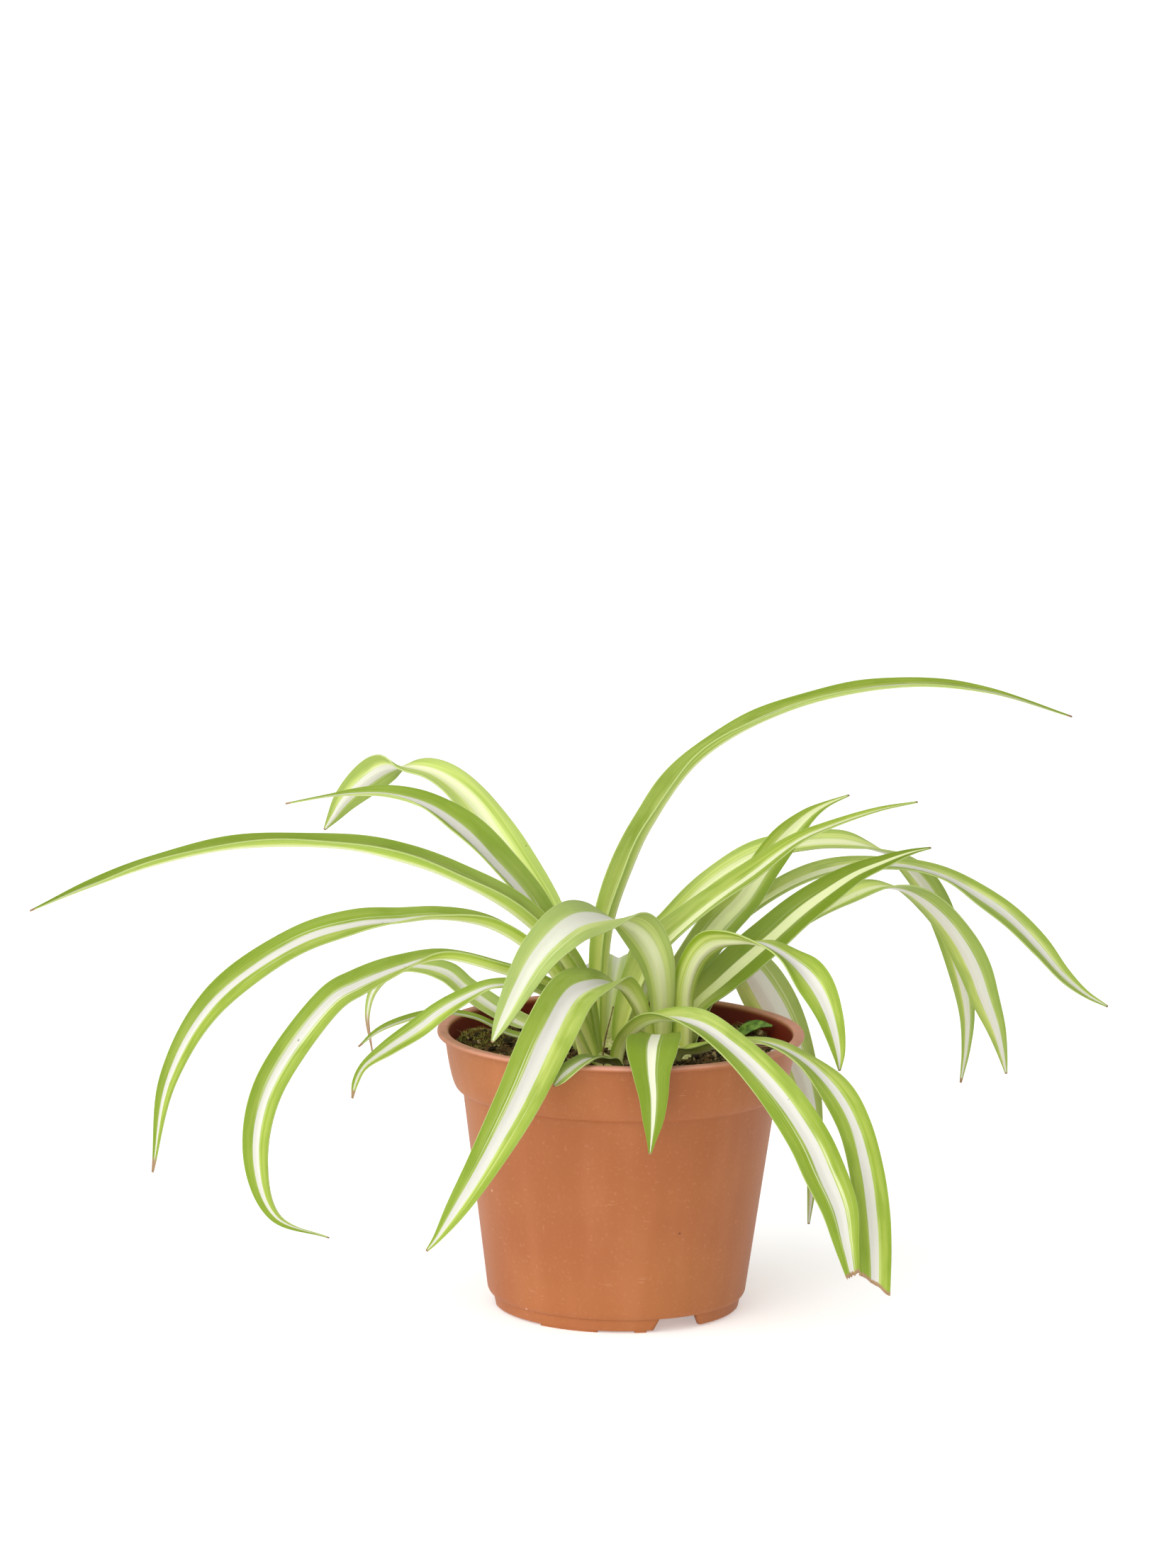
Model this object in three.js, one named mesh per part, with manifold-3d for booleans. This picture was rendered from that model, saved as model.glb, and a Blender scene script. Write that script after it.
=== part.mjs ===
// A spider plant in a thin-walled nursery pot, as a three.js group of closed solids.
// Millimetres, +Z up, origin on the pot's axis at the ground, -Y towards the viewer.
// The pot is a turned shell. The soil fills it, four crowns stand in the soil, and each
// leaf is one V-folded blade swept along a curve, standing in a slot of its crown.

import * as THREE from "three";
import { mergeVertices } from "three/addons/utils/BufferGeometryUtils.js";
import Module from "manifold-3d";

const wasm = await Module();
wasm.setup();

// ---------------------------------------------------------------- sizes, in millimetres

const CLEARANCE = 0.3; // between any two pieces that meet

// The pot: radii of its outer face and the heights where they apply.
const RIM_RADIUS = 60;
const RIM_TOP = 92;
const RIM_FLANGE = 1.8; // thickness of the flat rim
const BAND_TOP_RADIUS = 57.6; // the deep band under the rim
const BAND_LOW_RADIUS = 55.2;
const BAND_STEP = 72.2; // height where the band steps in to the wall
const WALL_TOP_RADIUS = 51.4;
const WALL_LOW_RADIUS = 42.5;
const LIP_HEIGHT = 4.6; // the wall ends here, over the foot ring
const WALL = 1.3; // thickness of the plastic
const FLOOR_TOP = 6.4;
const POT_SIDES = 64;

// The foot: a ring under the floor, open at three notches, on low pads.
const FOOT_OUTER = 41;
const FOOT_LOW_OUTER = 40.2;
const FOOT_INNER = 38.4;
const FOOT_BOTTOM = 0.6;
const NOTCH_LOW_WIDTH = 18.5; // at the ground; each notch narrows upwards
const NOTCH_TOP_WIDTH = 14;
const NOTCH_ANGLES = [300.5, 60.5, 180.5]; // degrees from +X
const PAD_SPANS = [[232.4, 261.5], [278.9, 284.5]]; // start and end, repeated every 120 degrees
const CENTRE_PAD_RADIUS = 9;
const DRAIN_RADIUS = 4;
const DRAIN_RING = 30;
const DRAIN_COUNT = 6;

// The soil.
const SOIL_TOP = 84;
const SOIL_GRAIN = 0.45; // height of its small waves
const SOIL_RINGS = 9;
const SOIL_SIDES = 44;
// Mounds and hollows of the soil: x, y, radius and height of each.
const SOIL_MOUNDS = [
  [-45, 8, 16, 4.2],
  [-36, 30, 15, 1.6],
  [-40, -24, 15, 1.6],
  [43, 27, 17, 3.6],
  [46, -4, 13, 1.2],
  [30, -38, 16, 1],
  [-17, 42, 16, -4],
  [8, 46, 15, -3.5],
];

// The crowns: where each stands, its radius, and the directions of its fleshy roots in degrees.
const CROWN_BOTTOM = 58;
const CROWN_SHOULDER = 81;
const CROWN_TOP = 86.5;
const CROWN_SIDES = 28;
const ROOT_RADIUS = 3.2;
const ROOT_LENGTH = 34;
const ROOT_DROP = 60; // degrees below the horizon
const CROWNS = [
  { name: "crown_front_left", at: [-8, -17], radius: 11, roots: [160, 225, 290, 20] },
  { name: "crown_front_right", at: [15, -1.5], radius: 10, roots: [250, 315, 0, 200] },
  { name: "crown_back_left", at: [-5.5, 12.5], radius: 12, roots: [90, 145, 200, 60] },
  { name: "crown_back_right", at: [17.5, 18.5], radius: 8.6, roots: [20, 70, 330, 115] },
];

// The leaves.
const BLADE = 0.8; // thickness
const STATION_STEP = 8; // length of blade between two cross-sections
const TIP_WIDTH = 1.2;
const SLOT_STATIONS = 5; // stations of a blade that its slot follows

// One entry for each leaf. path: points of the midrib from the base to the tip, each with the
// blade's width there. roll: how far the upper face turns towards the viewer at each point, in
// degrees. fold: how far each half folds up from flat, at the base and at the tip, in degrees.
// open: shares of the length between which the fold opens. heading: direction that the leaf
// grows in, in degrees from +X.
const LEAVES = [
  {
    name: "leaf_left_long", fold: [62, 50], heading: 180,
    path: [[-8, -12, 78, 7], [-10, -12, 90, 8], [-17, -12, 113, 12], [-34, -12, 131, 13.5],
      [-56, -10, 143, 13], [-74, -10, 149, 11.5], [-92, -10, 152.5, 10], [-126, -14, 152.5, 8.5],
      [-151, -18, 147.5, 7], [-172, -22, 140.5, 4.5], [-191, -26, 133, 0.8]],
    roll: [20, 20, 20, 20, 20, 17, 15, 15, 20, 30, 40],
  },
  {
    name: "leaf_left_arch_upper", fold: [60, 22], heading: 190,
    path: [[-12, -15, 78, 6], [-14, -16, 90, 7], [-23, -20, 114, 9], [-41, -24, 129, 9],
      [-59, -27, 133, 9.5], [-72, -29, 132, 11], [-86, -32, 131, 11], [-104, -36, 126, 11],
      [-130, -44, 108, 10], [-144, -50, 84, 6.5], [-149, -54, 54, 0.8]],
    roll: [0, 0, -5, -4, 10, 22, 36, 50, 60, 62, 60],
  },
  {
    name: "leaf_left_arch_lower", fold: [60, 20], heading: 200,
    path: [[-9, -19, 78, 6], [-11, -20, 90, 7], [-20, -26, 107.5, 9], [-41, -33, 117.5, 8.5],
      [-58, -38, 122, 9], [-71, -44, 119.5, 10.5], [-84, -50, 115, 11], [-92, -54, 111, 11],
      [-111.5, -64, 84, 10.5], [-115, -66, 61, 8.5], [-109, -64, 43, 4.5], [-92, -60, 35, 0.8]],
    roll: [0, 0, 0, -4, 2, 22, 38, 48, 60, 58, 45, 20],
  },
  {
    name: "leaf_left_back_low", fold: [50, 15], heading: 165,
    path: [[-13, 3, 78, 5.5], [-17, 3, 88, 6.5], [-33, 13, 90, 8.5], [-43, 22, 94, 9],
      [-52, 29, 99, 8.5], [-58, 33, 103, 8.5], [-66, 37, 104, 6.5], [-74, 42, 102.5, 5.5],
      [-82, 45, 95, 4.5], [-84.5, 46.5, 86, 3], [-83, 48, 73, 0.8]],
    roll: [30, 30, 38, 44, 44, 42, 30, 35, 50, 50, 40],
  },
  {
    name: "leaf_left_front_low", fold: [55, 22], heading: 195,
    path: [[-8, -24, 78, 5], [-12, -27, 90, 5.5], [-25, -35, 110, 7], [-40, -40, 113.5, 6.5],
      [-50, -42, 110, 7], [-58, -43.5, 105.5, 7.5], [-65, -44, 100, 7.5], [-74, -45.5, 94, 6],
      [-82, -47, 88, 3.2], [-84.5, -48, 83, 2.6], [-85.5, -48, 78, 0.8]],
    roll: [0, 8, 18, 15, 35, 46, 50, 50, 42, 40, 30],
  },
  {
    name: "leaf_left_thin", fold: [50, 40], heading: 180,
    path: [[-16, -8, 79, 3], [-20, -8, 87, 3.5], [-36, -8, 91, 4], [-48, -10, 97, 3.5],
      [-60, -12, 98.5, 3.6], [-72, -13.5, 95.5, 4], [-79, -14.5, 92.5, 3], [-85, -16, 88, 0.8]],
    roll: [30, 30, 30, 30, 30, 30, 30, 30],
  },
  {
    name: "leaf_back_left_tall", fold: [50, 14], heading: 150,
    path: [[-12, 16, 78, 7], [-14, 19, 92, 9], [-19, 27, 103, 12], [-26, 40, 122, 14.5],
      [-37, 52, 137, 15.5], [-52, 69, 155, 15], [-64, 79, 162, 14], [-74, 85, 163, 13.5],
      [-81, 88, 162, 13], [-88, 91.5, 157, 12], [-95, 94, 150, 8.5], [-99, 95, 144, 4.5],
      [-102, 96, 139.5, 0.8]],
    roll: [10, 10, 15, 28, 28, 21, 13, 0, -45, -62, -66, -60, -60],
  },
  {
    name: "leaf_left_tall", fold: [58, 35], heading: 170,
    path: [[-15, 11, 78, 7], [-18, 11, 92, 10], [-24, 13, 114, 14], [-31, 17, 129, 15.5],
      [-43, 21, 142, 15.5], [-55, 24, 153, 15.5], [-66, 26, 160, 12.5], [-78, 29, 163, 8],
      [-89, 31, 163, 4.5], [-98, 32, 162, 2], [-112, 34, 159, 0.8]],
    roll: [20, 20, 28, 30, 30, 26, 20, 20, 20, 20, 20],
  },
  {
    name: "leaf_right_tallest", fold: [62, 50], heading: 12,
    path: [[-5.5, 9, 78, 6.5], [-5.5, 9.5, 92, 9], [-5, 12, 107, 12], [-3, 16, 125, 14],
      [3, 21, 142.5, 14.5], [9, 24, 155.5, 14], [25, 30, 177, 10.5], [54, 36, 193, 8.5],
      [91, 42, 200.5, 6.5], [119, 46, 198.5, 3.7], [148, 50, 190, 0.8]],
    roll: [30, 30, 30, 27, 25, 25, 15, 22, 30, 40, 50],
  },
  {
    name: "leaf_front_left_high", fold: [45, 12], heading: 212,
    path: [[13, 2, 78, 8.5], [13, 1, 90, 9], [13, -2, 104, 11.5], [11, -5, 115, 14.5], [7, -8, 123, 16],
      [0.5, -14, 129.5, 16], [-8, -23, 133, 16], [-15, -31, 133.5, 16], [-20, -36, 131, 15.5],
      [-27, -41, 124, 13], [-33, -45.5, 114, 9.8], [-38, -50, 104, 5.5], [-41, -52.5, 98, 0.8]],
    roll: [-50, -52, -55, -53, -48, -22, 20, 43, 49, 48, 45, 42, 40],
  },
  {
    name: "leaf_front_left_long", fold: [45, 12], heading: 225,
    path: [[9, -3, 78, 6], [8.5, -4, 89, 6.5], [6, -11, 100, 8], [2, -16, 107, 10], [-3, -25, 111.5, 13],
      [-9, -36, 113.5, 15], [-16, -45, 112, 16.5], [-23, -58, 102, 17], [-33, -73, 82, 14.5],
      [-43, -81, 64, 10.6], [-51, -86, 51, 7], [-57, -89, 42, 2.6], [-60, -90, 38.5, 0.8]],
    roll: [-20, -25, -30, -24, -2, 22, 40, 45, 45, 42, 40, 35, 35],
  },
  {
    name: "leaf_front_short", fold: [35, 6], heading: 268, open: [0.1, 0.45],
    path: [[11, -7, 78, 7], [11, -12, 88, 8], [12, -34, 97, 12.5], [11, -52, 100, 17],
      [10, -61, 98, 16.5], [10, -64, 92, 12.4], [10.8, -65, 84, 9.4], [10.8, -65, 76, 6.6],
      [10.4, -64.5, 70, 3.2], [10, -64, 65, 0.8]],
    roll: [0, 0, 0, 0, 0, 0, 0, 0, 0, 0],
  },
  {
    name: "leaf_front_right_long", fold: [45, 12], heading: 322,
    path: [[0, -17.5, 78, 7], [1, -18, 88, 8.5], [4, -22.5, 94.5, 9.5], [11, -30, 101, 10.2],
      [24, -42, 102.5, 11.5], [36, -54, 97.5, 11.6], [49, -63, 86.5, 12.8], [60, -69.5, 72, 14],
      [65, -72, 62, 14.2], [70, -74, 51, 12.2], [72.5, -75, 40, 8.5], [75, -76, 28.5, 4.2]],
    roll: [0, 0, 0, -2, 20, 31, 38, 40, 40, 40, 40, 40],
  },
  {
    name: "leaf_front_right_outer", fold: [40, 10], heading: 325, open: [0.1, 0.4],
    path: [[19, -6, 78, 6], [20, -12, 86, 7], [26, -25, 90, 9], [35, -33, 94.5, 9.5],
      [47, -41, 96.5, 10.5], [59, -49.5, 92.5, 11.2], [69, -56, 84, 11.4], [75, -60, 74, 11],
      [79, -62.5, 60, 11.4], [81, -64.5, 47, 11.6], [82, -65.5, 36, 11], [82.5, -66, 20, 9.8]],
    roll: [0, 0, 6, -2, -8, 3, 29, 43, 47, 50, 50, 50],
  },
  {
    name: "leaf_front_left_short", fold: [45, 25], heading: 235,
    path: [[0, -24, 78, 4], [-2, -32, 87, 5], [-6, -43, 90, 6.5], [-10, -54, 93, 7.5], [-14, -60, 92, 8],
      [-18, -63, 89.5, 6], [-21, -64, 86.5, 0.8]],
    roll: [0, 0, 0, 0, 0, 10, 20],
  },
  {
    name: "leaf_right_arch_near", fold: [45, 16], heading: 330,
    path: [[22, 5, 78, 9], [22, 4.5, 90, 10], [21.5, 3.5, 103, 10.6], [24, 0.5, 113.5, 11.2],
      [29, -5, 120.5, 13.4], [36, -14, 124, 13], [45, -22, 125, 12.6], [54, -29, 121.5, 12],
      [62, -34, 115, 12], [67, -37, 105.5, 9], [70, -39, 94, 4.6], [70.5, -40, 88, 0.8]],
    roll: [-30, -35, -38, -40, -42, -31, -4, 8, 50, 55, 52, 50],
  },
  {
    name: "leaf_right_spear", fold: [32, 20], heading: 20,
    path: [[17, 14, 78, 4.5], [20, 15, 87, 7], [24, 17, 96, 12], [33, 20, 104, 14.5],
      [48, 24, 117, 15.2], [58, 26.5, 126, 14], [67, 29.5, 132.5, 11.5], [77, 34, 138.5, 7.9],
      [86, 37, 142, 5.6], [95, 40, 145, 3], [102, 42, 146.5, 0.8]],
    roll: [40, 40, 40, 40, 40, 40, 40, 40, 40, 33, 30],
  },
  {
    name: "leaf_right_high_spear", fold: [50, 32], heading: 15,
    path: [[1, 8, 78, 6.5], [1.5, 8, 88, 9], [4, 8.5, 97, 13], [9, 11, 110, 15.8], [14, 13, 117, 15],
      [26, 16, 128, 12.6], [34, 19, 134, 11.2], [43, 23, 140, 9.8], [57, 28, 150, 6.6],
      [66, 31, 154, 4.9], [84, 35, 160, 2.4], [97, 38, 162.5, 0.8]],
    roll: [30, 30, 30, 30, 30, 30, 30, 30, 30, 30, 30, 30],
  },
  {
    name: "leaf_right_steep_spear", fold: [35, 18], heading: 30,
    path: [[13, 18, 78, 7], [15, 20, 90, 8.6], [18, 25, 102, 12], [24, 29, 111, 13.4],
      [31, 33, 120.5, 13.3], [40, 37.5, 129.5, 11.8], [46, 42, 138, 11], [53, 47, 147, 10],
      [61, 52, 154.5, 5.6], [67, 55, 158, 2.7], [75, 58, 161, 0.8]],
    roll: [45, 50, 60, 63, 65, 61, 59, 56, 47, 41, 30],
  },
  {
    name: "leaf_back_right_droop", fold: [50, 16], heading: 35,
    path: [[1, 13, 78, 6], [2, 16, 92, 7], [6, 31, 111, 8.5], [16, 40, 120.5, 9], [30, 54, 131.5, 10],
      [45, 65, 138.5, 11], [61, 74, 141, 11.5], [74, 80.5, 140.5, 11.3], [84, 84.5, 138, 11],
      [92, 88, 134.5, 10.6], [101, 92, 126, 10.5], [108, 95, 115, 9.8], [115, 98.5, 95, 8],
      [118.5, 100, 79, 5.6], [118.5, 101, 66, 3.2], [117, 102, 54, 0.8]],
    roll: [30, 30, 30, 30, 24, 20, 26, 26, 6, -9, -33, -52, -57, -60, -60, -60],
  },
  {
    name: "leaf_back_right_outer", fold: [55, 20], heading: 25,
    path: [[19, 21, 78, 6], [21, 24, 90, 6.5], [26, 35, 105, 7.5], [37, 43, 118.5, 9],
      [54, 54, 129.5, 9.4], [72, 62, 135, 8.8], [92, 69, 135, 8.4], [107, 73, 131, 8.8],
      [120, 75, 124, 9.4], [130, 76, 117, 9.9], [140, 77, 107, 9.4], [149, 78, 97, 6.5],
      [157, 79, 90.5, 3.2], [165, 80, 86, 0.8]],
    roll: [30, 30, 30, 30, 30, 25, 22, 30, 54, 60, 63, 65, 65, 65],
  },
  {
    name: "leaf_back_right_inner", fold: [55, 14], heading: 28,
    path: [[23, 16, 78, 7], [26, 18, 89, 8], [35, 26, 104.5, 9], [44, 33, 111, 10], [59, 43, 119, 10.4],
      [73, 52, 125.5, 10.8], [86, 61, 129, 11.6], [95, 66, 127, 12], [105, 70, 119.5, 12.4],
      [113, 72.5, 110, 12], [119, 74, 99.5, 11.6], [123, 75, 89, 10], [127, 75, 79, 6.9],
      [129.5, 76, 70, 3.6], [131, 76, 63, 0.8]],
    roll: [30, 30, 30, 27, 21, 15, 2, -10, -32, -43, -55, -57, -60, -60, -60],
  },
  {
    name: "leaf_back_right_hang", fold: [45, 12], heading: 45,
    path: [[13, 23, 78, 7], [15, 29, 90, 9], [26, 43, 102, 12], [38, 53, 104, 14.5], [43, 58, 100, 17],
      [49, 63, 91, 18], [55, 67, 80, 16.5], [60, 70, 67, 13.8], [64, 71.5, 54, 10], [66, 72, 41, 7],
      [66, 72, 27, 4], [65, 72, 10.5, 0.8]],
    roll: [0, 0, -10, -28, -38, -50, -55, -60, -60, -60, -55, -50],
  },
  {
    name: "leaf_back_short", fold: [45, 14], heading: 88,
    path: [[-4, 17, 78, 5.5], [-4, 22, 92, 6.5], [-2, 35, 106, 10], [-1, 48, 106, 10.5], [0, 66, 98, 9],
      [0, 76, 72, 5.5], [0, 80, 48, 0.8]],
    roll: [0, 0, 0, 0, 0, 0, 0],
  },
  {
    name: "leaf_back_left_hidden", fold: [45, 14], heading: 95,
    path: [[-10, 21, 78, 6], [-11, 26, 92, 7.5], [-12, 42, 103, 11], [-14, 63, 97, 10.5],
      [-16, 76, 72, 7], [-18, 82, 44, 0.8]],
    roll: [0, 0, 0, 0, 0, 0],
  },
  {
    name: "leaf_back_right_hidden", fold: [45, 14], heading: 74,
    path: [[4, 19, 78, 6.5], [6, 25, 92, 8], [12, 46, 104, 12.5], [17, 66, 97, 11.5], [21, 80, 70, 7.5],
      [24, 86, 38, 0.8]],
    roll: [0, 0, 0, 0, 0, 0],
  },
];

// Small things on the soil.
const STALK = { radius: 0.45, path: [[-4.5, -27.5, 80], [-5.5, -27.5, 90], [-2.5, -26, 105]] };
const WEED = {
  name: "weed_leaf", fold: [12, 8], heading: 15,
  path: [[38, 20, 84, 1.4], [41, 20, 88, 5.6], [45, 20, 90, 4.8], [50, 19, 90, 1]],
  roll: [10, 15, 20, 20],
};
const CHIP = { from: [42, 10], to: [52, 7], radius: 1.5 };
const PERLITE = { at: [50.5, -3], radius: 1.8 };

// Colours.
const COLOUR = {
  pot: "#c4724b",
  soil: "#3b2d20",
  crown: "#cfdca4",
  leaf: "#94b84a",
  stalk: "#4a3222",
  weed: "#3f6b2c",
  chip: "#6b4a33",
  perlite: "#dcdcd8",
};

// ---------------------------------------------------------------- helpers

const radians = (degrees) => (degrees * Math.PI) / 180;

// A step from 0 to 1 between a and b, level at both ends.
function smooth(a, b, x) {
  const t = Math.min(1, Math.max(0, (x - a) / (b - a)));
  return t * t * (3 - 2 * t);
}

// A smooth curve through the values at their knots: cubic spans, whose slope at each knot is
// that of the straight line between its two neighbours.
function passing(x, knots, values) {
  const last = knots.length - 1;
  const slope = (k) => {
    const [before, after] = [Math.max(0, k - 1), Math.min(last, k + 1)];
    return (values[after] - values[before]) / (knots[after] - knots[before]);
  };
  let i = last - 1;
  while (i > 0 && x < knots[i]) i--;
  const span = knots[i + 1] - knots[i];
  const t = (x - knots[i]) / span;
  const rise = values[i + 1] - values[i];
  const [a, b] = [slope(i) * span, slope(i + 1) * span];
  return values[i] + a * t + (3 * rise - 2 * a - b) * t ** 2 + (a + b - 2 * rise) * t ** 3;
}

// A manifold solid from rows of [x, y, z] and triangles of row numbers.
function solid(vertices, triangles) {
  return new wasm.Manifold(
    new wasm.Mesh({
      numProp: 3,
      vertProperties: new Float32Array(vertices.flat()),
      triVerts: new Uint32Array(triangles.flat()),
    }),
  );
}

// The closed skin over a row of rings that all have the same number of points. Each ring runs
// anticlockwise as seen from the next one. Both ends are closed by a fan on a corner.
function skin(rings) {
  const count = rings[0].length;
  const triangles = [];
  for (let i = 0; i + 1 < rings.length; i++) {
    for (let j = 0; j < count; j++) {
      const a = i * count + j;
      const b = i * count + ((j + 1) % count);
      triangles.push([a, b, b + count], [a, b + count, a + count]);
    }
  }
  const last = (rings.length - 1) * count;
  for (let j = 1; j + 1 < count; j++) {
    triangles.push([0, j + 1, j], [last, last + j, last + j + 1]);
  }
  return solid(rings.flat(), triangles);
}

// A solid turned about Z from a closed outline of [radius, z] points. A point at radius 0
// lies on the axis.
function turned(outline, sides) {
  const vertices = [];
  const index = outline.map(([radius, z]) => {
    const first = vertices.length;
    const copies = radius === 0 ? 1 : sides;
    for (let j = 0; j < copies; j++) {
      const angle = (2 * Math.PI * j) / sides;
      vertices.push([radius * Math.cos(angle), radius * Math.sin(angle), z]);
    }
    return (j) => first + (copies === 1 ? 0 : j % sides);
  });
  const triangles = [];
  outline.forEach((_, i) => {
    const low = index[i];
    const high = index[(i + 1) % outline.length];
    for (let j = 0; j < sides; j++) {
      const [a, b, c, d] = [low(j), low(j + 1), high(j + 1), high(j)];
      if (a !== b) triangles.push([a, b, c]);
      if (c !== d) triangles.push([a, c, d]);
    }
  });
  return solid(vertices, triangles);
}

// A round bar whose radius changes evenly from the first end to the second.
function bar(from, to, radii, sides) {
  const start = new THREE.Vector3(...from);
  const axis = new THREE.Vector3(...to).sub(start);
  const u = new THREE.Vector3(0, 0, 1).cross(axis);
  if (u.length() < 1e-6) u.set(1, 0, 0);
  u.normalize();
  const v = axis.clone().normalize().cross(u);
  const ring = (share) => {
    const radius = radii[0] + (radii[1] - radii[0]) * share;
    return Array.from({ length: sides }, (_, j) => {
      const angle = (2 * Math.PI * j) / sides;
      return start.clone()
        .addScaledVector(axis, share)
        .addScaledVector(u, radius * Math.cos(angle))
        .addScaledVector(v, radius * Math.sin(angle))
        .toArray();
    });
  };
  return skin([ring(0), ring(1)]);
}

// The largest of a solid's separate pieces.
function largest(shape) {
  return shape.decompose().sort((a, b) => b.volume() - a.volume())[0];
}

// ---------------------------------------------------------------- blades

// The stations of a leaf: at each, the midrib point, the sideways and upward directions,
// the half width and the fold.
function stations(leaf) {
  const points = leaf.path.map(([x, y, z]) => new THREE.Vector3(x, y, z));
  const widths = leaf.path.map((p) => p[3]);
  const curve = new THREE.CatmullRomCurve3(points, false, "centripetal");
  const perSpan = 60;
  curve.arcLengthDivisions = perSpan * (points.length - 1);
  const lengths = curve.getLengths();
  const total = lengths[lengths.length - 1];
  const knots = points.map((_, i) => lengths[i * perSpan] / total);
  const heading = radians(leaf.heading);
  const side0 = new THREE.Vector3(Math.sin(heading), -Math.cos(heading), 0);
  const turn = Math.cos(heading) >= 0 ? 1 : -1;
  const steps = Math.max(10, Math.round(total / STATION_STEP));
  const { open = [0.1, 0.6] } = leaf;
  return Array.from({ length: steps + 1 }, (_, i) => {
    const share = i / steps;
    const along = curve.getTangentAt(share);
    const side = side0.clone().addScaledVector(along, -side0.dot(along)).normalize();
    const up = side.clone().cross(along);
    const angle = radians(turn * passing(share, knots, leaf.roll));
    const across = side.clone().multiplyScalar(Math.cos(angle))
      .addScaledVector(up, -Math.sin(angle));
    const normal = up.clone().multiplyScalar(Math.cos(angle))
      .addScaledVector(side, Math.sin(angle));
    const fold = leaf.fold[0] + (leaf.fold[1] - leaf.fold[0]) * smooth(open[0], open[1], share);
    return {
      at: curve.getPointAt(share),
      along,
      across,
      normal,
      half: Math.max(passing(share, knots, widths), TIP_WIDTH) / 2,
      fold: radians(fold),
    };
  });
}

// The six corners of a V-shaped section, with `extra` added on every side of the blade.
function section(station, extra) {
  const { at, across, normal, fold } = station;
  const half = station.half + extra;
  const thick = BLADE / 2 + extra;
  const corner = (side, face) => {
    const out = across.clone().multiplyScalar(side * Math.cos(fold))
      .addScaledVector(normal, Math.sin(fold));
    const facing = across.clone().multiplyScalar(-side * Math.sin(fold))
      .addScaledVector(normal, Math.cos(fold));
    return at.clone().addScaledVector(out, half).addScaledVector(facing, face * thick);
  };
  const rib = (face) => at.clone().addScaledVector(normal, (face * thick) / Math.cos(fold));
  return [corner(-1, -1), rib(-1), corner(1, -1), corner(1, 1), rib(1), corner(-1, 1)]
    .map((p) => p.toArray());
}

// The blade between rings, split alike on its upper and lower faces.
function blade(list, extra) {
  const rings = list.map((station) => section(station, extra));
  const triangles = [];
  for (let i = 0; i + 1 < rings.length; i++) {
    const [p, q] = [6 * i, 6 * i + 6];
    for (const [a, b] of [[0, 1], [3, 4]]) {
      triangles.push([p + a, q + a, q + b], [p + a, q + b, p + b]);
    }
    for (const [a, b] of [[1, 2], [4, 5]]) {
      triangles.push([p + a, q + a, p + b], [q + a, q + b, p + b]);
    }
    for (const [a, b] of [[2, 3], [5, 0]]) {
      triangles.push([p + a, q + a, q + b], [p + a, q + b, p + b]);
    }
  }
  const cap = [[0, 1, 4], [0, 4, 5], [1, 2, 3], [1, 3, 4]];
  const last = 6 * (rings.length - 1);
  for (const [a, b, c] of cap) {
    triangles.push([a, b, c], [last + a, last + c, last + b]);
  }
  return solid(rings.flat(), triangles);
}

function leafSolid(leaf) {
  return blade(stations(leaf), 0);
}

// The room that a leaf's base needs: its first stations, grown by the clearance and pushed
// a little below the base.
function leafSlot(leaf) {
  const list = stations(leaf).slice(0, SLOT_STATIONS);
  list[0].at.addScaledVector(list[0].along, -CLEARANCE);
  return blade(list, CLEARANCE);
}

// ---------------------------------------------------------------- the pot

// The outer face from the lip up, as [radius, z].
const POT_FACE = [
  [FOOT_OUTER + 0.6, LIP_HEIGHT],
  [WALL_LOW_RADIUS, LIP_HEIGHT + 1.4],
  [WALL_TOP_RADIUS, BAND_STEP],
  [WALL_TOP_RADIUS + 2.2, BAND_STEP + 1.2],
  [BAND_LOW_RADIUS, BAND_STEP + 4],
  [BAND_LOW_RADIUS + 1, BAND_STEP + 9],
  [BAND_TOP_RADIUS, RIM_TOP - RIM_FLANGE],
];

// The inner face from the floor up.
const POT_BORE = [
  [WALL_LOW_RADIUS - WALL + 0.1, FLOOR_TOP],
  [WALL_TOP_RADIUS - WALL, BAND_STEP + 0.6],
  [WALL_TOP_RADIUS + 1.3, BAND_STEP + 2.2],
  [BAND_LOW_RADIUS - WALL, BAND_STEP + 5],
  [BAND_LOW_RADIUS + 1 - WALL, BAND_STEP + 9],
  [BAND_TOP_RADIUS - WALL, RIM_TOP - 0.4],
];

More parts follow.
